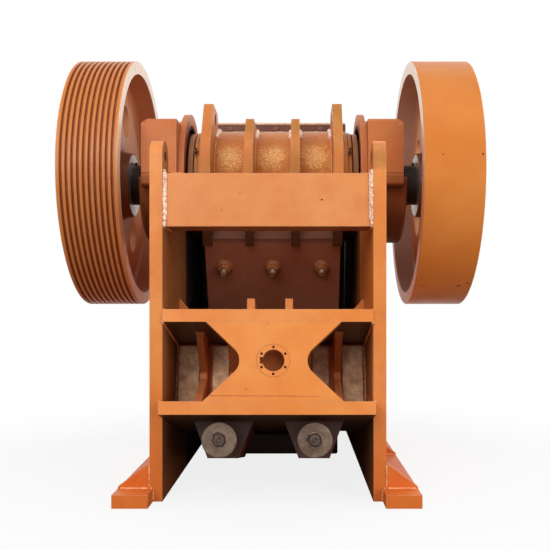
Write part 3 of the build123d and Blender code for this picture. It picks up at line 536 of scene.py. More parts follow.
# Chips, each a place and a size, and on the flywheel's rim by x and by degrees above its rearmost line
beam_marks = [(at(x, 0.018, z), size) for x, z, size in (
    (-0.13, 1.427, 0.0024), (0.249, 1.394, 0.0046), (-0.215, 1.345, 0.0026))]
web_marks = [(box_at(x, 0, height), size) for x, height, size in (
    (-0.095, -0.372, 0.0030), (0.0, -0.068, 0.0028), (0.15, -0.432, 0.0030))]
rim_marks = [(Vector((x, SHAFT_Y - Y_MID - 0.706, z)), size) for x, z, size in (
    (0.879, 1.673, 0.0042), (1.082, 1.676, 0.0056))]
for x, turn, size in (
    (0.822, -59.6, 0.0030), (0.831, -59.2, 0.0042), (0.841, -58.9, 0.0036), (0.850, -58.6, 0.0022),
    (0.904, -61.0, 0.0030), (1.022, -59.2, 0.0050), (1.031, -59.0, 0.0068), (1.024, -60.0, 0.0036),
    (1.072, -57.0, 0.0052), (1.080, -57.3, 0.0034),
):
    a = math.radians(turn)
    rim_marks.append((Vector((x, SHAFT_Y - Y_MID - WHEEL_R * math.cos(a), SHAFT_Z + WHEEL_R * math.sin(a))),
                      size))

looks = {
    # The frame and front wall paints darken towards the bottom as painted shade, and the side plates carry
    # painted shade inside.
    "plates": paint("frame_paint", deepen=(0.05, 0.75), shade=inside_shade),
    "front": paint("front_paint", deepen=(0.05, 0.75), dirt=0.7),
    "beam": paint("beam_paint", base="#E08D52", pale="#E6985D", marks=beam_marks, dirt=0.25, wear=0.7),
    # The toggle box's undersides get strong painted shade.
    "box": paint("toggle_box_paint", base="#DE8236", pale="#E48E46", dirt=0.35, under=0.9),
    "web": paint("web_plate_paint", base="#E18437", pale="#E79145", marks=web_marks, dirt=0.3, wear=0.8),
    "inner": paint("toggle_box_inner_paint", base="#DD7E44", pale="#E58A50", deep="#BE5C2A", dirt=0.6),
    # The bearing housings get strongly lightened edges, partly painted highlight, and painted shade on their
    # seats.
    "housing": paint("housing_paint", base="#BC6730", pale="#C77640", cast=0.22, dirt=0.5,
                     bleach=0.8, shade=ring_shade),
    # The barrel carries painted highlights: a white top edge and pale gold patches.
    "barrel": paint("barrel_paint", base="#C06E30", pale="#CC7E3C", rough=0.34, cast=2.0, dirt=0.4,
                    spec=0.5, shade=low_shade, coat=0.0, tint=(1.0, 0.66, 0.30, 1.0), crown=1.9275,
                    bleach=0.95, gilt=[at(x, 0.796, 1.742) for x in (-0.24, 0.0, 0.24)]),
    "jaw": paint("jaw_paint", base="#C67434", pale="#D18342", cast=0.3, dirt=0.55, bleach=0.7,
                 shade=rib_shade, stain=0.75),
    # The darker paint on the back of the jaw is painted shade, with more painted shade under the beam.
    "jaw_back": paint("jaw_back_paint", base="#BC785A", pale="#C88668", deep="#9C6048", cast=0.3,
                      dirt=0.6, shade=back_shade),
    # The guard plate's dark maroon is painted shade.
    "guard": paint("guard_paint", base="#66382A", pale="#744432", deep="#522A1E", cast=0.3, dirt=0.9),
    # The near black brown of the jaw's foot, floor, skirt and lugs is painted shade.
    "jaw_foot": paint("jaw_foot_paint", base="#4A2A1F", pale="#573226", deep="#332019", cast=0.3,
                      dirt=0.9, bleach=0.1),
    # The feet's deeper orange carries on the painted shade towards the bottom.
    "foot": paint("foot_paint", base="#D96C28", pale="#DF7832", deep="#C45418", dirt=0.6, wear=1.2),
    # The brackets' near black brown and their cheeks' dark red are painted shade under the shelf.
    "brackets": paint("bracket_paint", base="#45271D", pale="#523024", deep="#331C15", dirt=0.9,
                      bleach=0.12),
    "bracket_sides": paint("bracket_side_paint", base="#7C3C28", pale="#884630", deep="#5E2C1E",
                           dirt=0.7, bleach=0.2),
    "sheave": wheel_paint("sheave_paint", "#DB8844", "#E59A58", "#C66C2E", True, (), 0.95),
    "flywheel": wheel_paint("flywheel_paint", "#D27A2E", "#D8843A", "#C0662A", False, rim_marks, 0.28),
    "liner": liner_look("manganese_steel"),
    "shaft": steel("shaft_steel", "#36312C", "#1E1B19", 0.45, 0.5, 0.12, (260, 6, 6), 0.3, 0.6),
    "collar": paint("collar_paint", base="#A9683C", pale="#B87A4C", deep="#84492A", dirt=1.0),
    # The near black of the rod steel away from the rod ends is painted shade.
    "rods": steel("rod_steel", "#6E5B4A", "#3B2C22", 0.48, 0.6, 0.7, (90, 6, 90), 0.6,
                  clean=[at(x, -0.1218, 0.3041) for x in (-ROD_X, ROD_X)]),
    "pins": steel("pin_steel", "#8A8075", "#4B433B", 0.36, 0.8, 0.35, (40, 90, 90), 0.4),
    "spring": steel("spring_steel", "#4E443C", "#241E1A", 0.4, 0.75, 0.45, (60, 60, 60), 0.4),
    "discs": brown_look("disc_steel", "#75604C", "#4E3B2C", [at(x, ROD_Y, ROD_Z) for x in (-ROD_X, ROD_X)]),
    "shims": brown_look("shim_steel", "#E8BC92", "#BC8C66"),
    "toggle": brown_look("toggle_steel", "#6E5546", "#43332A"),
}
# Nodes by look. The side plates wear the frame paint, and so would any node that isn't named here.
worn_by = {
    "front": "front_wall front_wall_ribs",
    "beam": "rear_top_beam",
    "box": "toggle_box_top_plate toggle_box_bottom_plate shelf_gussets",
    "web": "toggle_box_web_plate",
    "inner": "toggle_box_ribs toggle_box_front_plate",
    "shims": "toggle_shim_packs",
    "toggle": "toggle_seat toggle_plate",
    "brackets": "rod_brackets",
    "spring": "rod_springs",
    "liner": "fixed_jaw_liner swing_jaw_liner cheek_plate_left cheek_plate_right",
    "foot": "base_flange_left base_flange_right base_gussets",
    "housing": "bearing_seat_left bearing_seat_right bearing_cap_left bearing_cap_right",
    "shaft": "eccentric_shaft",
    "collar": "shaft_collars",
    "sheave": "sheave_left",
    "flywheel": "flywheel_right",
    "barrel": "jaw_barrel",
    "jaw": "jaw_barrel_end_plates jaw_face_plate jaw_outer_head_ribs jaw_inner_head_ribs",
    "jaw_back": "jaw_back_plate jaw_body_ribs",
    "jaw_foot": "jaw_toggle_block jaw_floor rod_lugs",
    "guard": "jaw_guard_plate",
    "rods": "tension_rods",
    "discs": "rod_discs",
    "pins": "rod_pins",
}
finish_of = {name: look for look, names in worn_by.items() for name in names.split()}
for name, obj in nodes.items():
    look = looks[finish_of.get(name, "plates")]
    for slot in obj.material_slots:
        slot.material = look

# Near white welds: painted highlight along the weld runs.
pale_weld_highlight = weld_look("weld_bleached", "#FFEEDC", "#DE9C70")
weld_orange = weld_look("weld_painted", "#EFA974", "#CC6C34")
bolt_paint = paint("bolt_paint", base="#B06C40", pale="#C07C50", deep="#82502E", edge=0.0018, dirt=0.9)
nut_paint = paint("nut_paint", edge=0.0018, dirt=0.5, under=0.3)
bolt_brown = paint("bolt_brown_paint", base="#7C4C38", pale="#8A5A44", deep="#643C2C", edge=0.0018, dirt=0.9)
stud_end = plain_metal("stud_end_steel", "#B89C7E", "#785C44", 0.45, 0.3)
dark_steel = plain_metal("small_dark_steel", "#4A3D33", "#1F1915", 0.42, 0.6)
bright_steel = plain_metal("small_bright_steel", "#CFC8BC", "#8F887E", 0.35, 0.8)
line_paint = plain_metal("scribed_line", "#CE7236", "#AC5A28", 0.5, 0.0)

# Mesh helpers


def frame_of(place, direction):
    """Matrix that takes +Z to a direction at a place, with X kept level where it can be."""
    z = Vector(direction).normalized()
    side = Vector((0, 0, 1)).cross(z)
    if side.length < 1e-4:
        side = Vector((1, 0, 0))
    side.normalize()
    up = z.cross(side)
    turn = Matrix((side, up, z)).transposed().to_4x4()
    return Matrix.Translation(place) @ turn


def skin(bm, rings, closed=False, capped=True):
    """Faces between rings of points, joined into a loop or capped at both ends."""
    pairs = list(zip(rings, rings[1:]))
    if closed:
        pairs.append((rings[-1], rings[0]))
    for low, high in pairs:
        for k in range(len(low)):
            j = (k + 1) % len(low)
            bm.faces.new((low[k], low[j], high[j], high[k]))
    if capped and not closed:
        bm.faces.new(list(reversed(rings[0])))
        bm.faces.new(rings[-1])


def circle(u, v, r, count, start=0.0, sweep=2 * math.pi):
    """Points of a circle in a plane, or of an arc of it."""
    last = count if sweep < 2 * math.pi else count - 1
    turns = [start + sweep * k / count for k in range(last + 1)]
    return [Vector((u + r * math.cos(a), v + r * math.sin(a))) for a in turns]


def turned(bm, matrix, profile, count):
    """Rings of points round an axis, one for each (radius, height) of the profile."""
    return [[bm.verts.new(matrix @ Vector((*p, height))) for p in circle(0, 0, radius, count)]
            for radius, height in profile]


def lathe(bm, matrix, profile, count):
    """Turned body: the profile is counted along the outside from foot to top."""
    skin(bm, turned(bm, matrix, profile, count))


def hoop(bm, matrix, profile, count):
    """Turned ring: the profile is a closed loop."""
    skin(bm, turned(bm, matrix, profile, count), closed=True)


def rounded(corners, steps=8):
    """Outline with arcs at the corners that carry a radius as their third number."""
    out = []
    for i, corner in enumerate(corners):
        p = Vector(corner[:2])
        if len(corner) == 2:
            out.append(p)
            continue
        a = (Vector(corners[i - 1][:2]) - p).normalized()
        b = (Vector(corners[(i + 1) % len(corners)][:2]) - p).normalized()
        half = a.angle(b) / 2
        centre = p + (a + b).normalized() * (corner[2] / math.sin(half))
        u = p + a * (corner[2] / math.tan(half)) - centre
        v = p + b * (corner[2] / math.tan(half)) - centre
        sweep = math.atan2(u.x * v.y - u.y * v.x, u.dot(v))
        for k in range(steps + 1):
            t = sweep * k / steps
            c, d = math.cos(t), math.sin(t)
            out.append(centre + Vector((u.x * c - u.y * d, u.x * d + u.y * c)))
    return out


def plate(bm, outline, low, high, holes=(), place=at):
    """Flat plate: an outline and its holes, stretched from low to high along place's first number."""
    sides = []
    for w in (low, high):
        loops, edges = [], []
        for loop in (outline, *holes):
            verts = [bm.verts.new(place(w, *p)) for p in loop]
            loops.append(verts)
            edges += [bm.edges.new(pair) for pair in zip(verts, verts[1:] + verts[:1])]
        bmesh.ops.triangle_fill(bm, use_beauty=True, edges=edges)
        sides.append(loops)
    for near, far in zip(*sides):
        for k in range(len(near)):
            j = (k + 1) % len(near)
            bm.faces.new((near[k], near[j], far[j], far[k]))


def soften(obj, width=0.003):
    """Small real rounding along the sharp edges."""
    bevel = obj.modifiers.new("edges", "BEVEL")
    bevel.width = width
    bevel.segments = 2
    bevel.limit_method = "ANGLE"
    bevel.angle_limit = math.radians(40)
    return obj


def hexagon(bm, matrix, across, low, high, turn):
    """Hexagon nut body with its corners turned off at both ends."""
    r = across / 2 / math.cos(math.pi / 6)
    cut, count = 0.07 * across, 24
    steps = [(0.93, low), (0.985, low + cut), (0.985, high - cut), (0.93, high)]
    rings = []
    for shrink, height in steps:
        ring = []
        for k in range(count):
            a = 2 * math.pi * k / count
            sector = (a + math.pi / 6) % (math.pi / 3) - math.pi / 6
            reach = min(across / 2 / math.cos(sector), r * shrink)
            point = Vector((reach * math.cos(a + turn), reach * math.sin(a + turn), height))
            ring.append(bm.verts.new(matrix @ point))
        rings.append(ring)
    skin(bm, rings)


def tube(bm, points, radius, sides, ripple=0.0, pitch=0.009, seed=1, closed=False):
    """Tube along points, rippled like a weld run where asked."""
    dice = random.Random(seed)
    rings = []
    total = level = 0.0
    for i, p in enumerate(points):
        if i:
            total += (p - points[i - 1]).length
        ahead = points[(i + 1) % len(points)] if closed or i + 1 < len(points) else p
        behind = points[i - 1] if closed or i else p
        along = (ahead - behind).normalized()
        side = along.cross(Vector((0.31, 0.52, 0.79))).normalized()
        up = along.cross(side)
        level = 0.7 * level + 0.3 * dice.uniform(-1, 1)
        wave = abs(math.sin(math.pi * total / pitch))
        r = radius * (1 + ripple * (0.55 * (wave - 0.6) + 0.9 * level))
        if not closed and i in (0, len(points) - 1):
            r *= 0.35
        shift = (side * dice.uniform(-1, 1) + up * dice.uniform(-1, 1)) * radius * 0.16 * ripple
        rings.append([bm.verts.new(p + shift + side * u + up * v) for u, v in circle(0, 0, r, sides)])
    skin(bm, rings, closed)


def run(bm, start, end, radius, step=0.0035, ripple=0.35, pitch=0.009, seed=1):
    """Straight weld run."""
    count = max(3, int((end - start).length / step))
    tube(bm, [start.lerp(end, k / count) for k in range(count + 1)], radius, 8, ripple, pitch, seed)


def piece(name, bm, material, body, angle=32):
    """Turns a bmesh into an object that rides on a body."""
    bmesh.ops.recalc_face_normals(bm, faces=bm.faces)
    mesh = bpy.data.meshes.new(name)
    bm.to_mesh(mesh)
    bm.free()
    mesh.shade_smooth()
    mesh.set_sharp_from_angle(angle=math.radians(angle))
    mesh.materials.append(material)
    obj = bpy.data.objects.new(name, mesh)
    scene.collection.objects.link(obj)
    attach(obj, body)
    return obj


# Side plates with their lifting ears, taller by a little than the solids' ears

EAR_TOP, EAR_DEEP, EAR_R = 1.676, 0.165, 0.079
for side, label in SIDES:
    node = "side_plate_" + label
    outline = rounded([
        (0, 0), (0, EAR_TOP, EAR_R), (EAR_DEEP, EAR_TOP, EAR_R), (EAR_DEEP, 1.470, 0.060),
        (0.463, 1.470, 0.060), (0.623, SHAFT_Z),
    ])
    outline += circle(SHAFT_Y, SHAFT_Z, 0.127, 40, math.pi, math.pi)
    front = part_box(node)[1].y + Y_MID
    outline += rounded([(1.563, SHAFT_Z), (1.600, 1.585)])
    outline += rounded([(1.600, 1.585), (front, 1.585, 0.060), (front - 0.1665, 0)])[1:]
    bm = bmesh.new()
    plate(bm, outline, side * INNER, side * OUTER, [circle(EAR_HOLE_Y, EAR_HOLE_Z, EAR_HOLE_R, 40)])
    obj = soften(piece(node + "_form", bm, looks["plates"], "frame"))
    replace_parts(obj, node)

# Head ribs: upright plates behind the barrel that lean forward to a flat crown

rib_foot = jaw_point(JAW_BACK, 0.155)
for node, places, thick, top, crown in (
    ("jaw_outer_head_ribs", (-0.355, 0.355), 0.052, 2.020, 0.732),
    ("jaw_inner_head_ribs", (-0.125, 0.125), 0.046, 1.932, 0.712),
):
    outline = rounded([
        rib_foot, (rib_foot[0] - 0.025, rib_foot[1]), (0.560, 1.570, 0.05), (0.562, 1.760, 0.16),
        (crown, top, 0.014), (0.985, top, 0.045), (1.000, 1.870), (SHAFT_Y, BARREL_Z),
        jaw_point(JAW_BACK, 0.110),
    ])
    for x in places:
        bm = bmesh.new()
        holes = [circle(RIB_HOLE_Y, RIB_HOLE_Z, RIB_HOLE_R, 40)] if "outer" in node else []
        plate(bm, outline, x - thick / 2, x + thick / 2, holes)
        label = node.replace("jaw_", "").replace("ribs", "rib") + ("_left" if x < 0 else "_right")
        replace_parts(soften(piece(label, bm, looks["jaw"], "swing_jaw")), node)

# Barrel skin as cast, and the end plates that close it

SKIN_R, SKIN_HALF = 0.326, 0.4195
bm = bmesh.new()
around, along = 330, 140
rows = []
for i in range(along + 1):
    x = -SKIN_HALF + 2 * SKIN_HALF * i / along
    row = []
    for u, v in circle(0, 0, 1, around):
        spot = Vector((x, SKIN_R * u, SKIN_R * v))
        lump = noise.noise(spot * 34) * 0.55 + noise.noise(spot * 78 + Vector((7, 3, 1))) * 0.45
        r = SKIN_R + 0.0034 * lump + 0.0012 * noise.noise(spot * 9)
        row.append(bm.verts.new(at(x, SHAFT_Y + r * u, BARREL_Z + r * v)))
    rows.append(row)
rims = [[bm.verts.new(v.co.lerp(at(v.co.x, SHAFT_Y, BARREL_Z), 0.06)) for v in row]
        for row in (rows[0], rows[-1])]
skin(bm, [rims[0], *rows, rims[1]], capped=False)
piece("barrel_skin", bm, looks["barrel"], "swing_jaw", 60)

for side, label in SIDES:
    bm = bmesh.new()
    m = frame_of(at(side * 0.4205, SHAFT_Y, BARREL_Z), (side, 0, 0))
    hoop(bm, m, [(0.150, 0), (0.313, 0), (0.316, 0.003), (0.318, 0.006), (0.318, 0.020), (0.315, 0.0242),
                 (0.299, 0.0245), (0.295, 0.0215), (0.160, 0.0215), (0.150, 0.0245)], 96)
    obj = piece("barrel_end_plate_" + label, bm, looks["jaw"], "swing_jaw")
    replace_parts(obj, "jaw_barrel_end_plates")

# Upper halves of the bearing housings, over the side plates as well

CAP_IN, CAP_OUT, CAP_REAR, CAP_FRONT = 0.5205, 0.684, 0.6426, 1.5434
CAP_FOOT, CAP_TOP, CAP_BORE_R = 1.6225, 1.9198, 0.360
for side, label in SIDES:
    bm = bmesh.new()
    outline = rounded([(CAP_REAR, CAP_FOOT), (CAP_REAR, CAP_TOP, 0.020), (CAP_FRONT, CAP_TOP, 0.020),
                       (CAP_FRONT, CAP_FOOT)])
    outline += circle(SHAFT_Y, CAP_FOOT, CAP_BORE_R, 48, 0.0, math.pi)
    plate(bm, outline, side * CAP_IN, side * CAP_OUT)
    soften(piece("bearing_cap_shoulder_" + label, bm, looks["housing"], "frame"))

# Skirt under the toggle block of the swing jaw, with windows for the tension rods

bm = bmesh.new()
outline = rounded([(-0.373, 0.030, 0.012), (-0.373, 0.143), (0.373, 0.143), (0.373, 0.030, 0.012)])
holes = [rounded([(x - 0.047, 0.062, 0.012), (x - 0.047, 0.136, 0.012), (x + 0.047, 0.136, 0.012),
                  (x + 0.047, 0.062, 0.012)]) for x in (-ROD_X, ROD_X)]
plate(bm, outline, 1.015, 1.063, holes, lambda w, u, v: at(u, w, v))
soften(piece("jaw_skirt", bm, looks["jaw_foot"], "swing_jaw"))

# Cheeks that run forward from the rod brackets under the toggle box

shelf_up = (box_at(0, 0, 1) - box_at(0, 0, 0)).normalized()
shelf_low = box_at(0, 0, -0.4865)
bm = bmesh.new()
for side in (-1, 1):
    rod = rod_frame(side)
    for face in (-1, 1):
        ends = []
        for along in (0.2412, 0.690):
            low = rod @ Vector((face * 0.0725, along, -0.0815))
            top = rod @ Vector((face * 0.1625, along, 0.1500))
            share = (shelf_low - low).dot(shelf_up) / (top - low).dot(shelf_up)
            top = low.lerp(top, min(share, 1.0))
            inner = Vector((-face * 0.018, 0, 0))
            ends.append([bm.verts.new(p) for p in (low, top, top + inner, low + inner)])
        skin(bm, ends)
soften(piece("rod_bracket_cheeks", bm, looks["bracket_sides"], "frame"), 0.002)

# Weld runs on the frame

bm = bmesh.new()
for side in (-1, 1):
    x = side * (INNER - 0.0015)
    for shift, y, low, high, radius, step, ripple, pitch, seed in (
        (0.003, 0.013, 1.266, 1.535, 0.0105, 0.0028, 0.7, 0.0085, 11),
        (0.011, 0.014, 1.300, 1.522, 0.0060, 0.0030, 0.9, 0.0080, 14),
    ):
        u = x - side * shift
        run(bm, at(u, y, low), at(u, y, high), radius, step, ripple, pitch, seed + side)
    run(bm, at(x, 0.02, 1.518), at(x, 0.235, 1.518), 0.006, 0.0035, 0.5, 0.009, 17 + side)
piece("beam_end_welds", bm, pale_weld_highlight, "frame", 60)

bm = bmesh.new()
for side in (-1, 1):
    x = side * (INNER - 0.001)
    run(bm, at(x, 0.239, 1.275), at(x, 0.239, 1.512), 0.0065, seed=21)
    run(bm, at(x, 0.025, 1.269), at(x, 0.232, 1.269), 0.0065, seed=22)
    for start, end, seed in (
        ((0.004, 0.001), (0.555, 0.001), 23), ((0.004, -0.061), (0.495, -0.061), 24),
        ((0.004, -0.425), (0.495, -0.425), 25), ((0.499, -0.422), (0.499, -0.064), 27),
        ((0.561, -0.422), (0.561, -0.004), 28),
    ):
        run(bm, box_at(x, *start), box_at(x, *end), 0.0065, seed=seed)
    for edge_x in (0.076, 0.114):
        u = side * edge_x
        run(bm, box_at(u, 0.275, 0.001), box_at(u, 0.552, 0.001), 0.005, seed=29)
    for edge_x in (0.170, 0.205, 0.320, 0.355):
        u = side * edge_x
        run(bm, box_at(u, 0.206, -0.0615), box_at(u, 0.494, -0.0615), 0.0045, seed=30)
        run(bm, box_at(u, 0.206, -0.4245), box_at(u, 0.494, -0.4245), 0.0045, seed=31)
piece("toggle_box_welds", bm, weld_orange, "frame", 60)

bm = bmesh.new()
run(bm, box_at(-0.262, -0.0002, -0.400), box_at(0.130, -0.0002, -0.402), 0.0016, 0.004, 0.8, 0.03, 41)
run(bm, box_at(0.120, -0.0002, -0.403), box_at(0.245, -0.0002, -0.404), 0.0011, 0.004, 0.8, 0.03, 42)
piece("web_plate_seam", bm, line_paint, "frame", 60)

bm = bmesh.new()
for side in (-1, 1):
    x = side * (OUTER + 0.001)
    run(bm, at(x, 0.002, 0.061), at(x, 2.165, 0.061), 0.008, 0.005, 0.35, 0.011, 51)
    u, v, w = side * (OUTER - 0.015), side * (OUTER - 0.014), side * (OUTER - 0.001)
    run(bm, at(u, -0.001, 0.004), at(u, -0.001, 0.056), 0.006, seed=52)
    run(bm, at(v, -0.001, 0.061), at(w, -0.001, 0.061), 0.006, seed=52)
    u, v = x + side * 0.006, x + side * 0.138
    for gusset_y in (0.0, 0.83, 1.66):
        for face in (-0.0008, 0.0358):
            y = gusset_y + face
            run(bm, at(x, y, 0.068), at(x, y, 0.166), 0.0048, seed=53)
            run(bm, at(u, y, 0.061), at(v, y, 0.061), 0.0048, seed=54)
piece("base_welds", bm, weld_orange, "frame", 60)

bm = bmesh.new()
for side in (-1, 1):
    x = side * (INNER - 0.001)
    low, high = [at(x, wall_y(z, WALL_THICK + 0.001), z) for z in (0.10, 1.50)]
    run(bm, low, high, 0.007, 0.0055, 0.35, 0.012, 61)
for rib in (-0.330, -0.110, 0.110, 0.330):
    for face in (-0.0205, 0.0205):
        low, high = [at(rib + face, wall_y(z, WALL_THICK + 0.0005), z) for z in (0.085, 1.52)]
        run(bm, low, high, 0.0055, 0.0055, 0.35, 0.012, 62)
piece("front_wall_welds", bm, weld_orange, "frame", 60)

# Weld runs on the swing jaw: round the barrel beside each head rib, and at the guard plate

bm, crowns = bmesh.new(), bmesh.new()
weld_r = SKIN_R + 0.0008
for place, half in ((0.355, 0.026), (0.125, 0.023)):
    for side in (-1, 1):
        for face in (-1, 1):
            x = side * place + face * (half + 0.0005)
            for target, start, end, count, thick in (
                (bm, 198, 130, 90, 0.0058), (crowns, 133, 100, 36, 0.0150),
            ):
                sweep = math.radians(end - start)
                arc = circle(SHAFT_Y, BARREL_Z, weld_r, count, math.radians(start), sweep)
                tube(target, [at(x, *p) for p in arc], thick, 8, 0.45, 0.010, 71 + int(place * 100))
weld_deep = weld_look("weld_on_barrel", "#DE9458", "#B96A30")
piece("head_rib_welds", bm, weld_deep, "swing_jaw", 60)
piece("head_rib_crown_welds", crowns, pale_weld_highlight, "swing_jaw", 60)

bm = bmesh.new()
GUARD_Y = 1.3452
run(bm, at(-0.435, GUARD_Y - 0.001, 1.834), at(0.435, GUARD_Y - 0.001, 1.834), 0.006, 0.0045, 0.5, 0.01, 81)
piece("guard_plate_weld", bm, weld_orange, "swing_jaw", 60)

# Liner bolts through the back of the swing jaw

back = Vector((0, -math.cos(JAW_TILT), -math.sin(JAW_TILT)))
plates, nuts, studs = bmesh.new(), bmesh.new(), bmesh.new()
for x, turn in ((-0.270, 0.3), (0.0, 0.05), (0.270, 0.62)):
    m = frame_of(at(x, *jaw_point(JAW_BACK, 0.284)), back)
    lathe(plates, m, [(0.046, -0.002), (0.046, 0.009), (0.044, 0.011), (0.040, 0.0115), (0.038, 0.017),
                      (0.034, 0.021), (0.030, 0.0225)], 40)
    hexagon(nuts, m, 0.056, 0.0225, 0.052, turn)
    lathe(nuts, m, [(0.0265, 0.0515), (0.0275, 0.054), (0.0245, 0.0575)], 32)
    thread = [(0.0165, 0.05)]
    for k in range(9):
        thread += [(0.0170, 0.0575 + k * 0.0035), (0.0158, 0.0593 + k * 0.0035)]
    lathe(studs, m, thread + [(0.0165, 0.0905), (0.0130, 0.0935)], 28)
piece("liner_bolt_washers", plates, bolt_paint, "swing_jaw")
piece("liner_bolt_nuts", nuts, bolt_paint, "swing_jaw")
piece("liner_bolt_studs", studs, stud_end, "swing_jaw")

# Rolled edge and bolt heads of the guard plate, and studs on the barrel's end plates

bm = bmesh.new()
edge_points = [at(-0.4385 + 0.877 * k / 180, GUARD_Y + 0.012, 2.048) for k in range(181)]
tube(bm, edge_points, 0.0105, 12)
# The rolled edge's near white is painted highlight.
piece("guard_rolled_edge", bm, plain_metal("guard_edge_paint", "#F6DCC2", "#D9A47C", 0.45, 0.0), "swing_jaw",
      60)

bm = bmesh.new()
for x, turn in ((-0.287, 0.1), (0.0, 0.4), (0.282, 0.25)):
    m = frame_of(at(x, GUARD_Y, 2.014), (0, -1, 0))
    lathe(bm, m, [(0.0165, -0.002), (0.0165, 0.003), (0.0155, 0.004)], 32)
    hexagon(bm, m, 0.024, 0.0035, 0.016, turn)
piece("guard_plate_bolts", bm, bolt_brown, "swing_jaw")

bm, tips = bmesh.new(), bmesh.new()
spoke = Vector((0, -math.cos(JAW_TILT), math.sin(JAW_TILT)))
for side in (-1, 1):
    m = frame_of(at(side * 0.4325, SHAFT_Y, BARREL_Z) + spoke * 0.316, spoke)
    lathe(bm, m, [(0.0125, -0.002), (0.0125, 0.004), (0.0085, 0.006), (0.0085, 0.026), (0.0105, 0.028),
                  (0.0105, 0.036), (0.008, 0.038)], 24)
    lathe(tips, m, [(0.0055, 0.037), (0.0062, 0.041), (0.0045, 0.046), (0.0058, 0.050), (0.003, 0.053)], 20)
piece("barrel_grease_studs", bm, bolt_paint, "swing_jaw")
piece("barrel_grease_nipples", tips, dark_steel, "swing_jaw")

# Grease nipples on the bearing caps

bm = bmesh.new()
for side in (-1, 1):
    m = frame_of(at(side * 0.665, SHAFT_Y, CAP_TOP - 0.0003), (0, 0, 1))
    lathe(bm, m, [(0.016, -0.002), (0.016, 0.004), (0.009, 0.006), (0.009, 0.016), (0.012, 0.018),
                  (0.012, 0.028), (0.006, 0.030), (0.007, 0.036), (0.004, 0.041)], 20)
piece("bearing_grease_nipples", bm, bright_steel, "frame")

# Bolts of the cheek plates on the outer faces of the side plates, and of the fixed liner on the front wall

bm, tips = bmesh.new(), bmesh.new()
for side in (-1, 1):
    for y, z, turn in ((1.84, 0.42, 0.1), (1.84, 0.86, 0.5), (1.86, 1.30, 0.3)):
        m = frame_of(at(side * OUTER, y, z), (side, 0, 0))
        lathe(bm, m, [(0.040, -0.002), (0.040, 0.006), (0.038, 0.008)], 32)
        hexagon(bm, m, 0.055, 0.008, 0.036, turn)
        lathe(tips, m, [(0.0175, 0.034), (0.0175, 0.046), (0.015, 0.0485)], 24)
for x in (-0.22, 0.22):
    for z, turn in ((0.46, 0.2), (1.24, 0.6)):
        m = frame_of(at(x, wall_y(z, WALL_THICK), z), (0, math.cos(WALL_TILT), -math.sin(WALL_TILT)))
        lathe(bm, m, [(0.044, -0.002), (0.044, 0.007), (0.042, 0.009)], 32)
        hexagon(bm, m, 0.060, 0.009, 0.040, turn)
        lathe(tips, m, [(0.0185, 0.038), (0.0185, 0.054), (0.016, 0.0565)], 24)
piece("liner_fixing_nuts", bm, nut_paint, "frame")
piece("liner_fixing_studs", tips, dark_steel, "frame")

# Shaft ends: taper keys and screwed discs inside the width of the wheels

bm, screws = bmesh.new(), bmesh.new()
for side in (-1, 1):
    m = frame_of(at(side * 1.0915, SHAFT_Y, SHAFT_Z), (side, 0, 0))
    lathe(bm, m, [(0.096, -0.001), (0.096, 0.0035), (0.094, 0.0055)], 64)
    for p in circle(0, 0, 0.055, 3, math.pi / 2):
        c = m @ Matrix.Translation((*p, 0.0))
        lathe(screws, c, [(0.015, 0.004), (0.015, 0.0070), (0.0135, 0.0078), (0.0085, 0.0078),
                          (0.0085, 0.0052)], 24)
piece("shaft_end_discs", bm, bright_steel, "rotor")
piece("shaft_end_screws", screws, dark_steel, "rotor")

bm = bmesh.new()
for side in (-1, 1):
    for near, far in ((1.076, 1.0905), (0.836, 0.818)):
        block = bmesh.ops.create_cube(bm, size=1.0)["verts"]
        middle = (near + far) / 2
        bmesh.ops.scale(bm, verts=block, vec=(abs(far - near), 0.036, 0.026))
        bmesh.ops.translate(bm, verts=block, vec=at(side * middle, SHAFT_Y, SHAFT_Z + 0.121))
        edges = [e for e in bm.edges if e.verts[0] in block and e.verts[1] in block]
        bmesh.ops.bevel(bm, geom=edges, offset=0.0022, segments=2, affect="EDGES")
piece("hub_keys", bm, dark_steel, "rotor")

# Scribed ring round the bore of the web plate

bm = bmesh.new()
ring = [box_at(x, -0.0002, height) for x, height in circle(0.027, -0.240, 0.0755, 120)]
tube(bm, ring, 0.0011, 6, 0.3, 0.03, 91, closed=True)
piece("web_bore_ring", bm, line_paint, "frame", 60)

# Rod end and retaining ring in the recess of each rod disc

bm = bmesh.new()
for side in (-1, 1):
    m = rod_frame(side) @ Matrix.Rotation(math.pi / 2, 4, "X")
    lathe(bm, m, [(0.0152, 0.0100), (0.0152, 0.0134), (0.0138, 0.0148), (0.0075, 0.0150), (0.0066, 0.0134),
                  (0.0030, 0.0130)], 32)
piece("rod_stud_ends", bm, dark_steel, "swing_jaw")

bm = bmesh.new()
for side, start in ((-1, 2.6), (1, 3.4)):
    rod = rod_frame(side)
    loop = [rod @ Vector((u, -0.0005, v)) for u, v in circle(0, 0, 0.0335, 60, start, math.radians(300))]
    tube(bm, loop, 0.0024, 8, 0.15, 0.02, 95 + side)
piece("rod_disc_rings", bm, stud_end, "swing_jaw", 60)

# Round wire for the springs of the tension rods

SPRING_R, WIRE_R, SPRING_TURNS, TURN_STEPS = 0.0505, 0.011, 4, 40
SPRING_START, SPRING_LONG = 0.053, 0.1402
for side, label in SIDES:
    bm = bmesh.new()
    rod = rod_frame(side)
    coil = []
    steps = SPRING_TURNS * TURN_STEPS
    for k in range(steps + 1):
        a = 2 * math.pi * SPRING_TURNS * k / steps
        coil.append(rod @ Vector((SPRING_R * math.cos(a), SPRING_START + SPRING_LONG * k / steps,
                                  THROW - SPRING_R * math.sin(a))))
    tube(bm, coil, WIRE_R, 14)
    spring = piece("spring_" + label, bm, looks["spring"], "frame", 60)
    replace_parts(spring, "rod_springs")

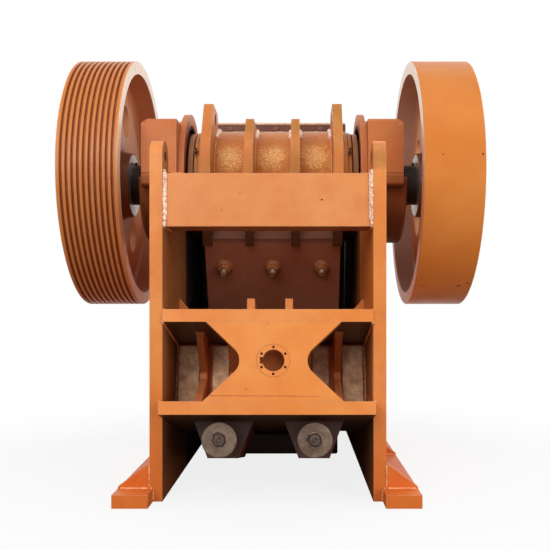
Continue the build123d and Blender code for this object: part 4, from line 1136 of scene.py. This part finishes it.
# Floor, light and camera

floor_mesh = bpy.data.meshes.new("floor")
floor_mesh.from_pydata([(-40, -40, 0), (40, -40, 0), (40, 40, 0), (-40, 40, 0)], [], [(0, 1, 2, 3)])
floor = bpy.data.objects.new("floor", floor_mesh)
scene.collection.objects.link(floor)
s = Shade("floor_paper", 0.8, spec=0.2)
seen = s.add("ShaderNodeLightPath")
glow = s.add("ShaderNodeEmission", {"Color": (1, 1, 1, 1), "Strength": 1.0})
away = s.add("ShaderNodeVectorMath", {0: s.place}, operation="LENGTH").outputs["Value"]
far = s.band(away, 1.2, 3.0, 0.84, 1.0)
mirrored = s.most(seen.outputs["Is Glossy Ray"], seen.outputs["Is Transmission Ray"])
mirrored = s.times(mirrored, s.band(away, 1.5, 3.4))
glowing = s.most(s.times(far, seen.outputs["Is Camera Ray"]), mirrored)
s.put(s.out.inputs["Surface"], s.mixed(glowing, s.bsdf.outputs[0], glow.outputs[0]))
pale_floor = s.blend(s.noise(0.6, 3), (0.80, 0.80, 0.80, 1), (0.83, 0.83, 0.83, 1))
s.colour = s.blend(seen.outputs["Is Camera Ray"], (0.30, 0.30, 0.30, 1), pale_floor)
s.finish()
floor_mesh.materials.append(s.mat)

world = bpy.data.worlds.new("studio")
scene.world = world
world.use_nodes = True
w = Nodes(world.node_tree)
path = w.add("ShaderNodeLightPath").outputs
shades = []
for strength in (0.34, 1.0):
    shades.append(w.add("ShaderNodeBackground", {"Color": (1, 1, 1, 1), "Strength": strength}).outputs[0])
white = w.most(w.most(path["Is Camera Ray"], path["Is Glossy Ray"]), path["Is Transmission Ray"])
w.add("ShaderNodeOutputWorld", {"Surface": w.mixed(white, *shades)})


def area(name, place, target, size, power):
    """Soft square lamp that faces a target."""
    lamp = bpy.data.lights.new(name, "AREA")
    lamp.shape = "SQUARE"
    lamp.size = size
    lamp.energy = power
    obj = bpy.data.objects.new(name, lamp)
    obj.location = place
    obj.rotation_euler = (Vector(target) - Vector(place)).to_track_quat("-Z", "Y").to_euler()
    scene.collection.objects.link(obj)


area("key", (-2.6, -6.8, 4.3), (0, -0.6, 1.0), 4.5, 246)
area("top", (0.2, -3.1, 6.3), (0, -0.3, 1.5), 3.2, 80)
area("fill", (5.2, -5.4, 2.4), (0.2, -0.4, 1.1), 4.0, 190)
area("back_right", (4.4, 3.4, 4.0), (-0.5, 0, 1.5), 3.0, 125)
area("back_left", (-4.4, 3.4, 4.0), (0.5, 0, 1.5), 3.0, 100)

F_PIXELS, PHOTO_WIDE = 790.0, 550.0
VANISH_X, VANISH_Y = 297.0, 305.0
CAMERA_X, CAMERA_BACK, CAMERA_UP = 0.134, 3.64, 0.906
lens = bpy.data.cameras.new("camera")
lens.sensor_fit = "HORIZONTAL"
lens.sensor_width = 36
lens.lens = F_PIXELS / PHOTO_WIDE * lens.sensor_width
lens.shift_x = (PHOTO_WIDE / 2 - VANISH_X) / PHOTO_WIDE
lens.shift_y = (VANISH_Y - PHOTO_WIDE / 2) / PHOTO_WIDE
lens.clip_start, lens.clip_end = 0.1, 200
camera = bpy.data.objects.new("camera", lens)
camera.location = at(CAMERA_X, -CAMERA_BACK, CAMERA_UP)
camera.rotation_euler = (math.pi / 2, 0, 0)
scene.collection.objects.link(camera)
scene.camera = camera
scene.view_settings.view_transform = "Standard"
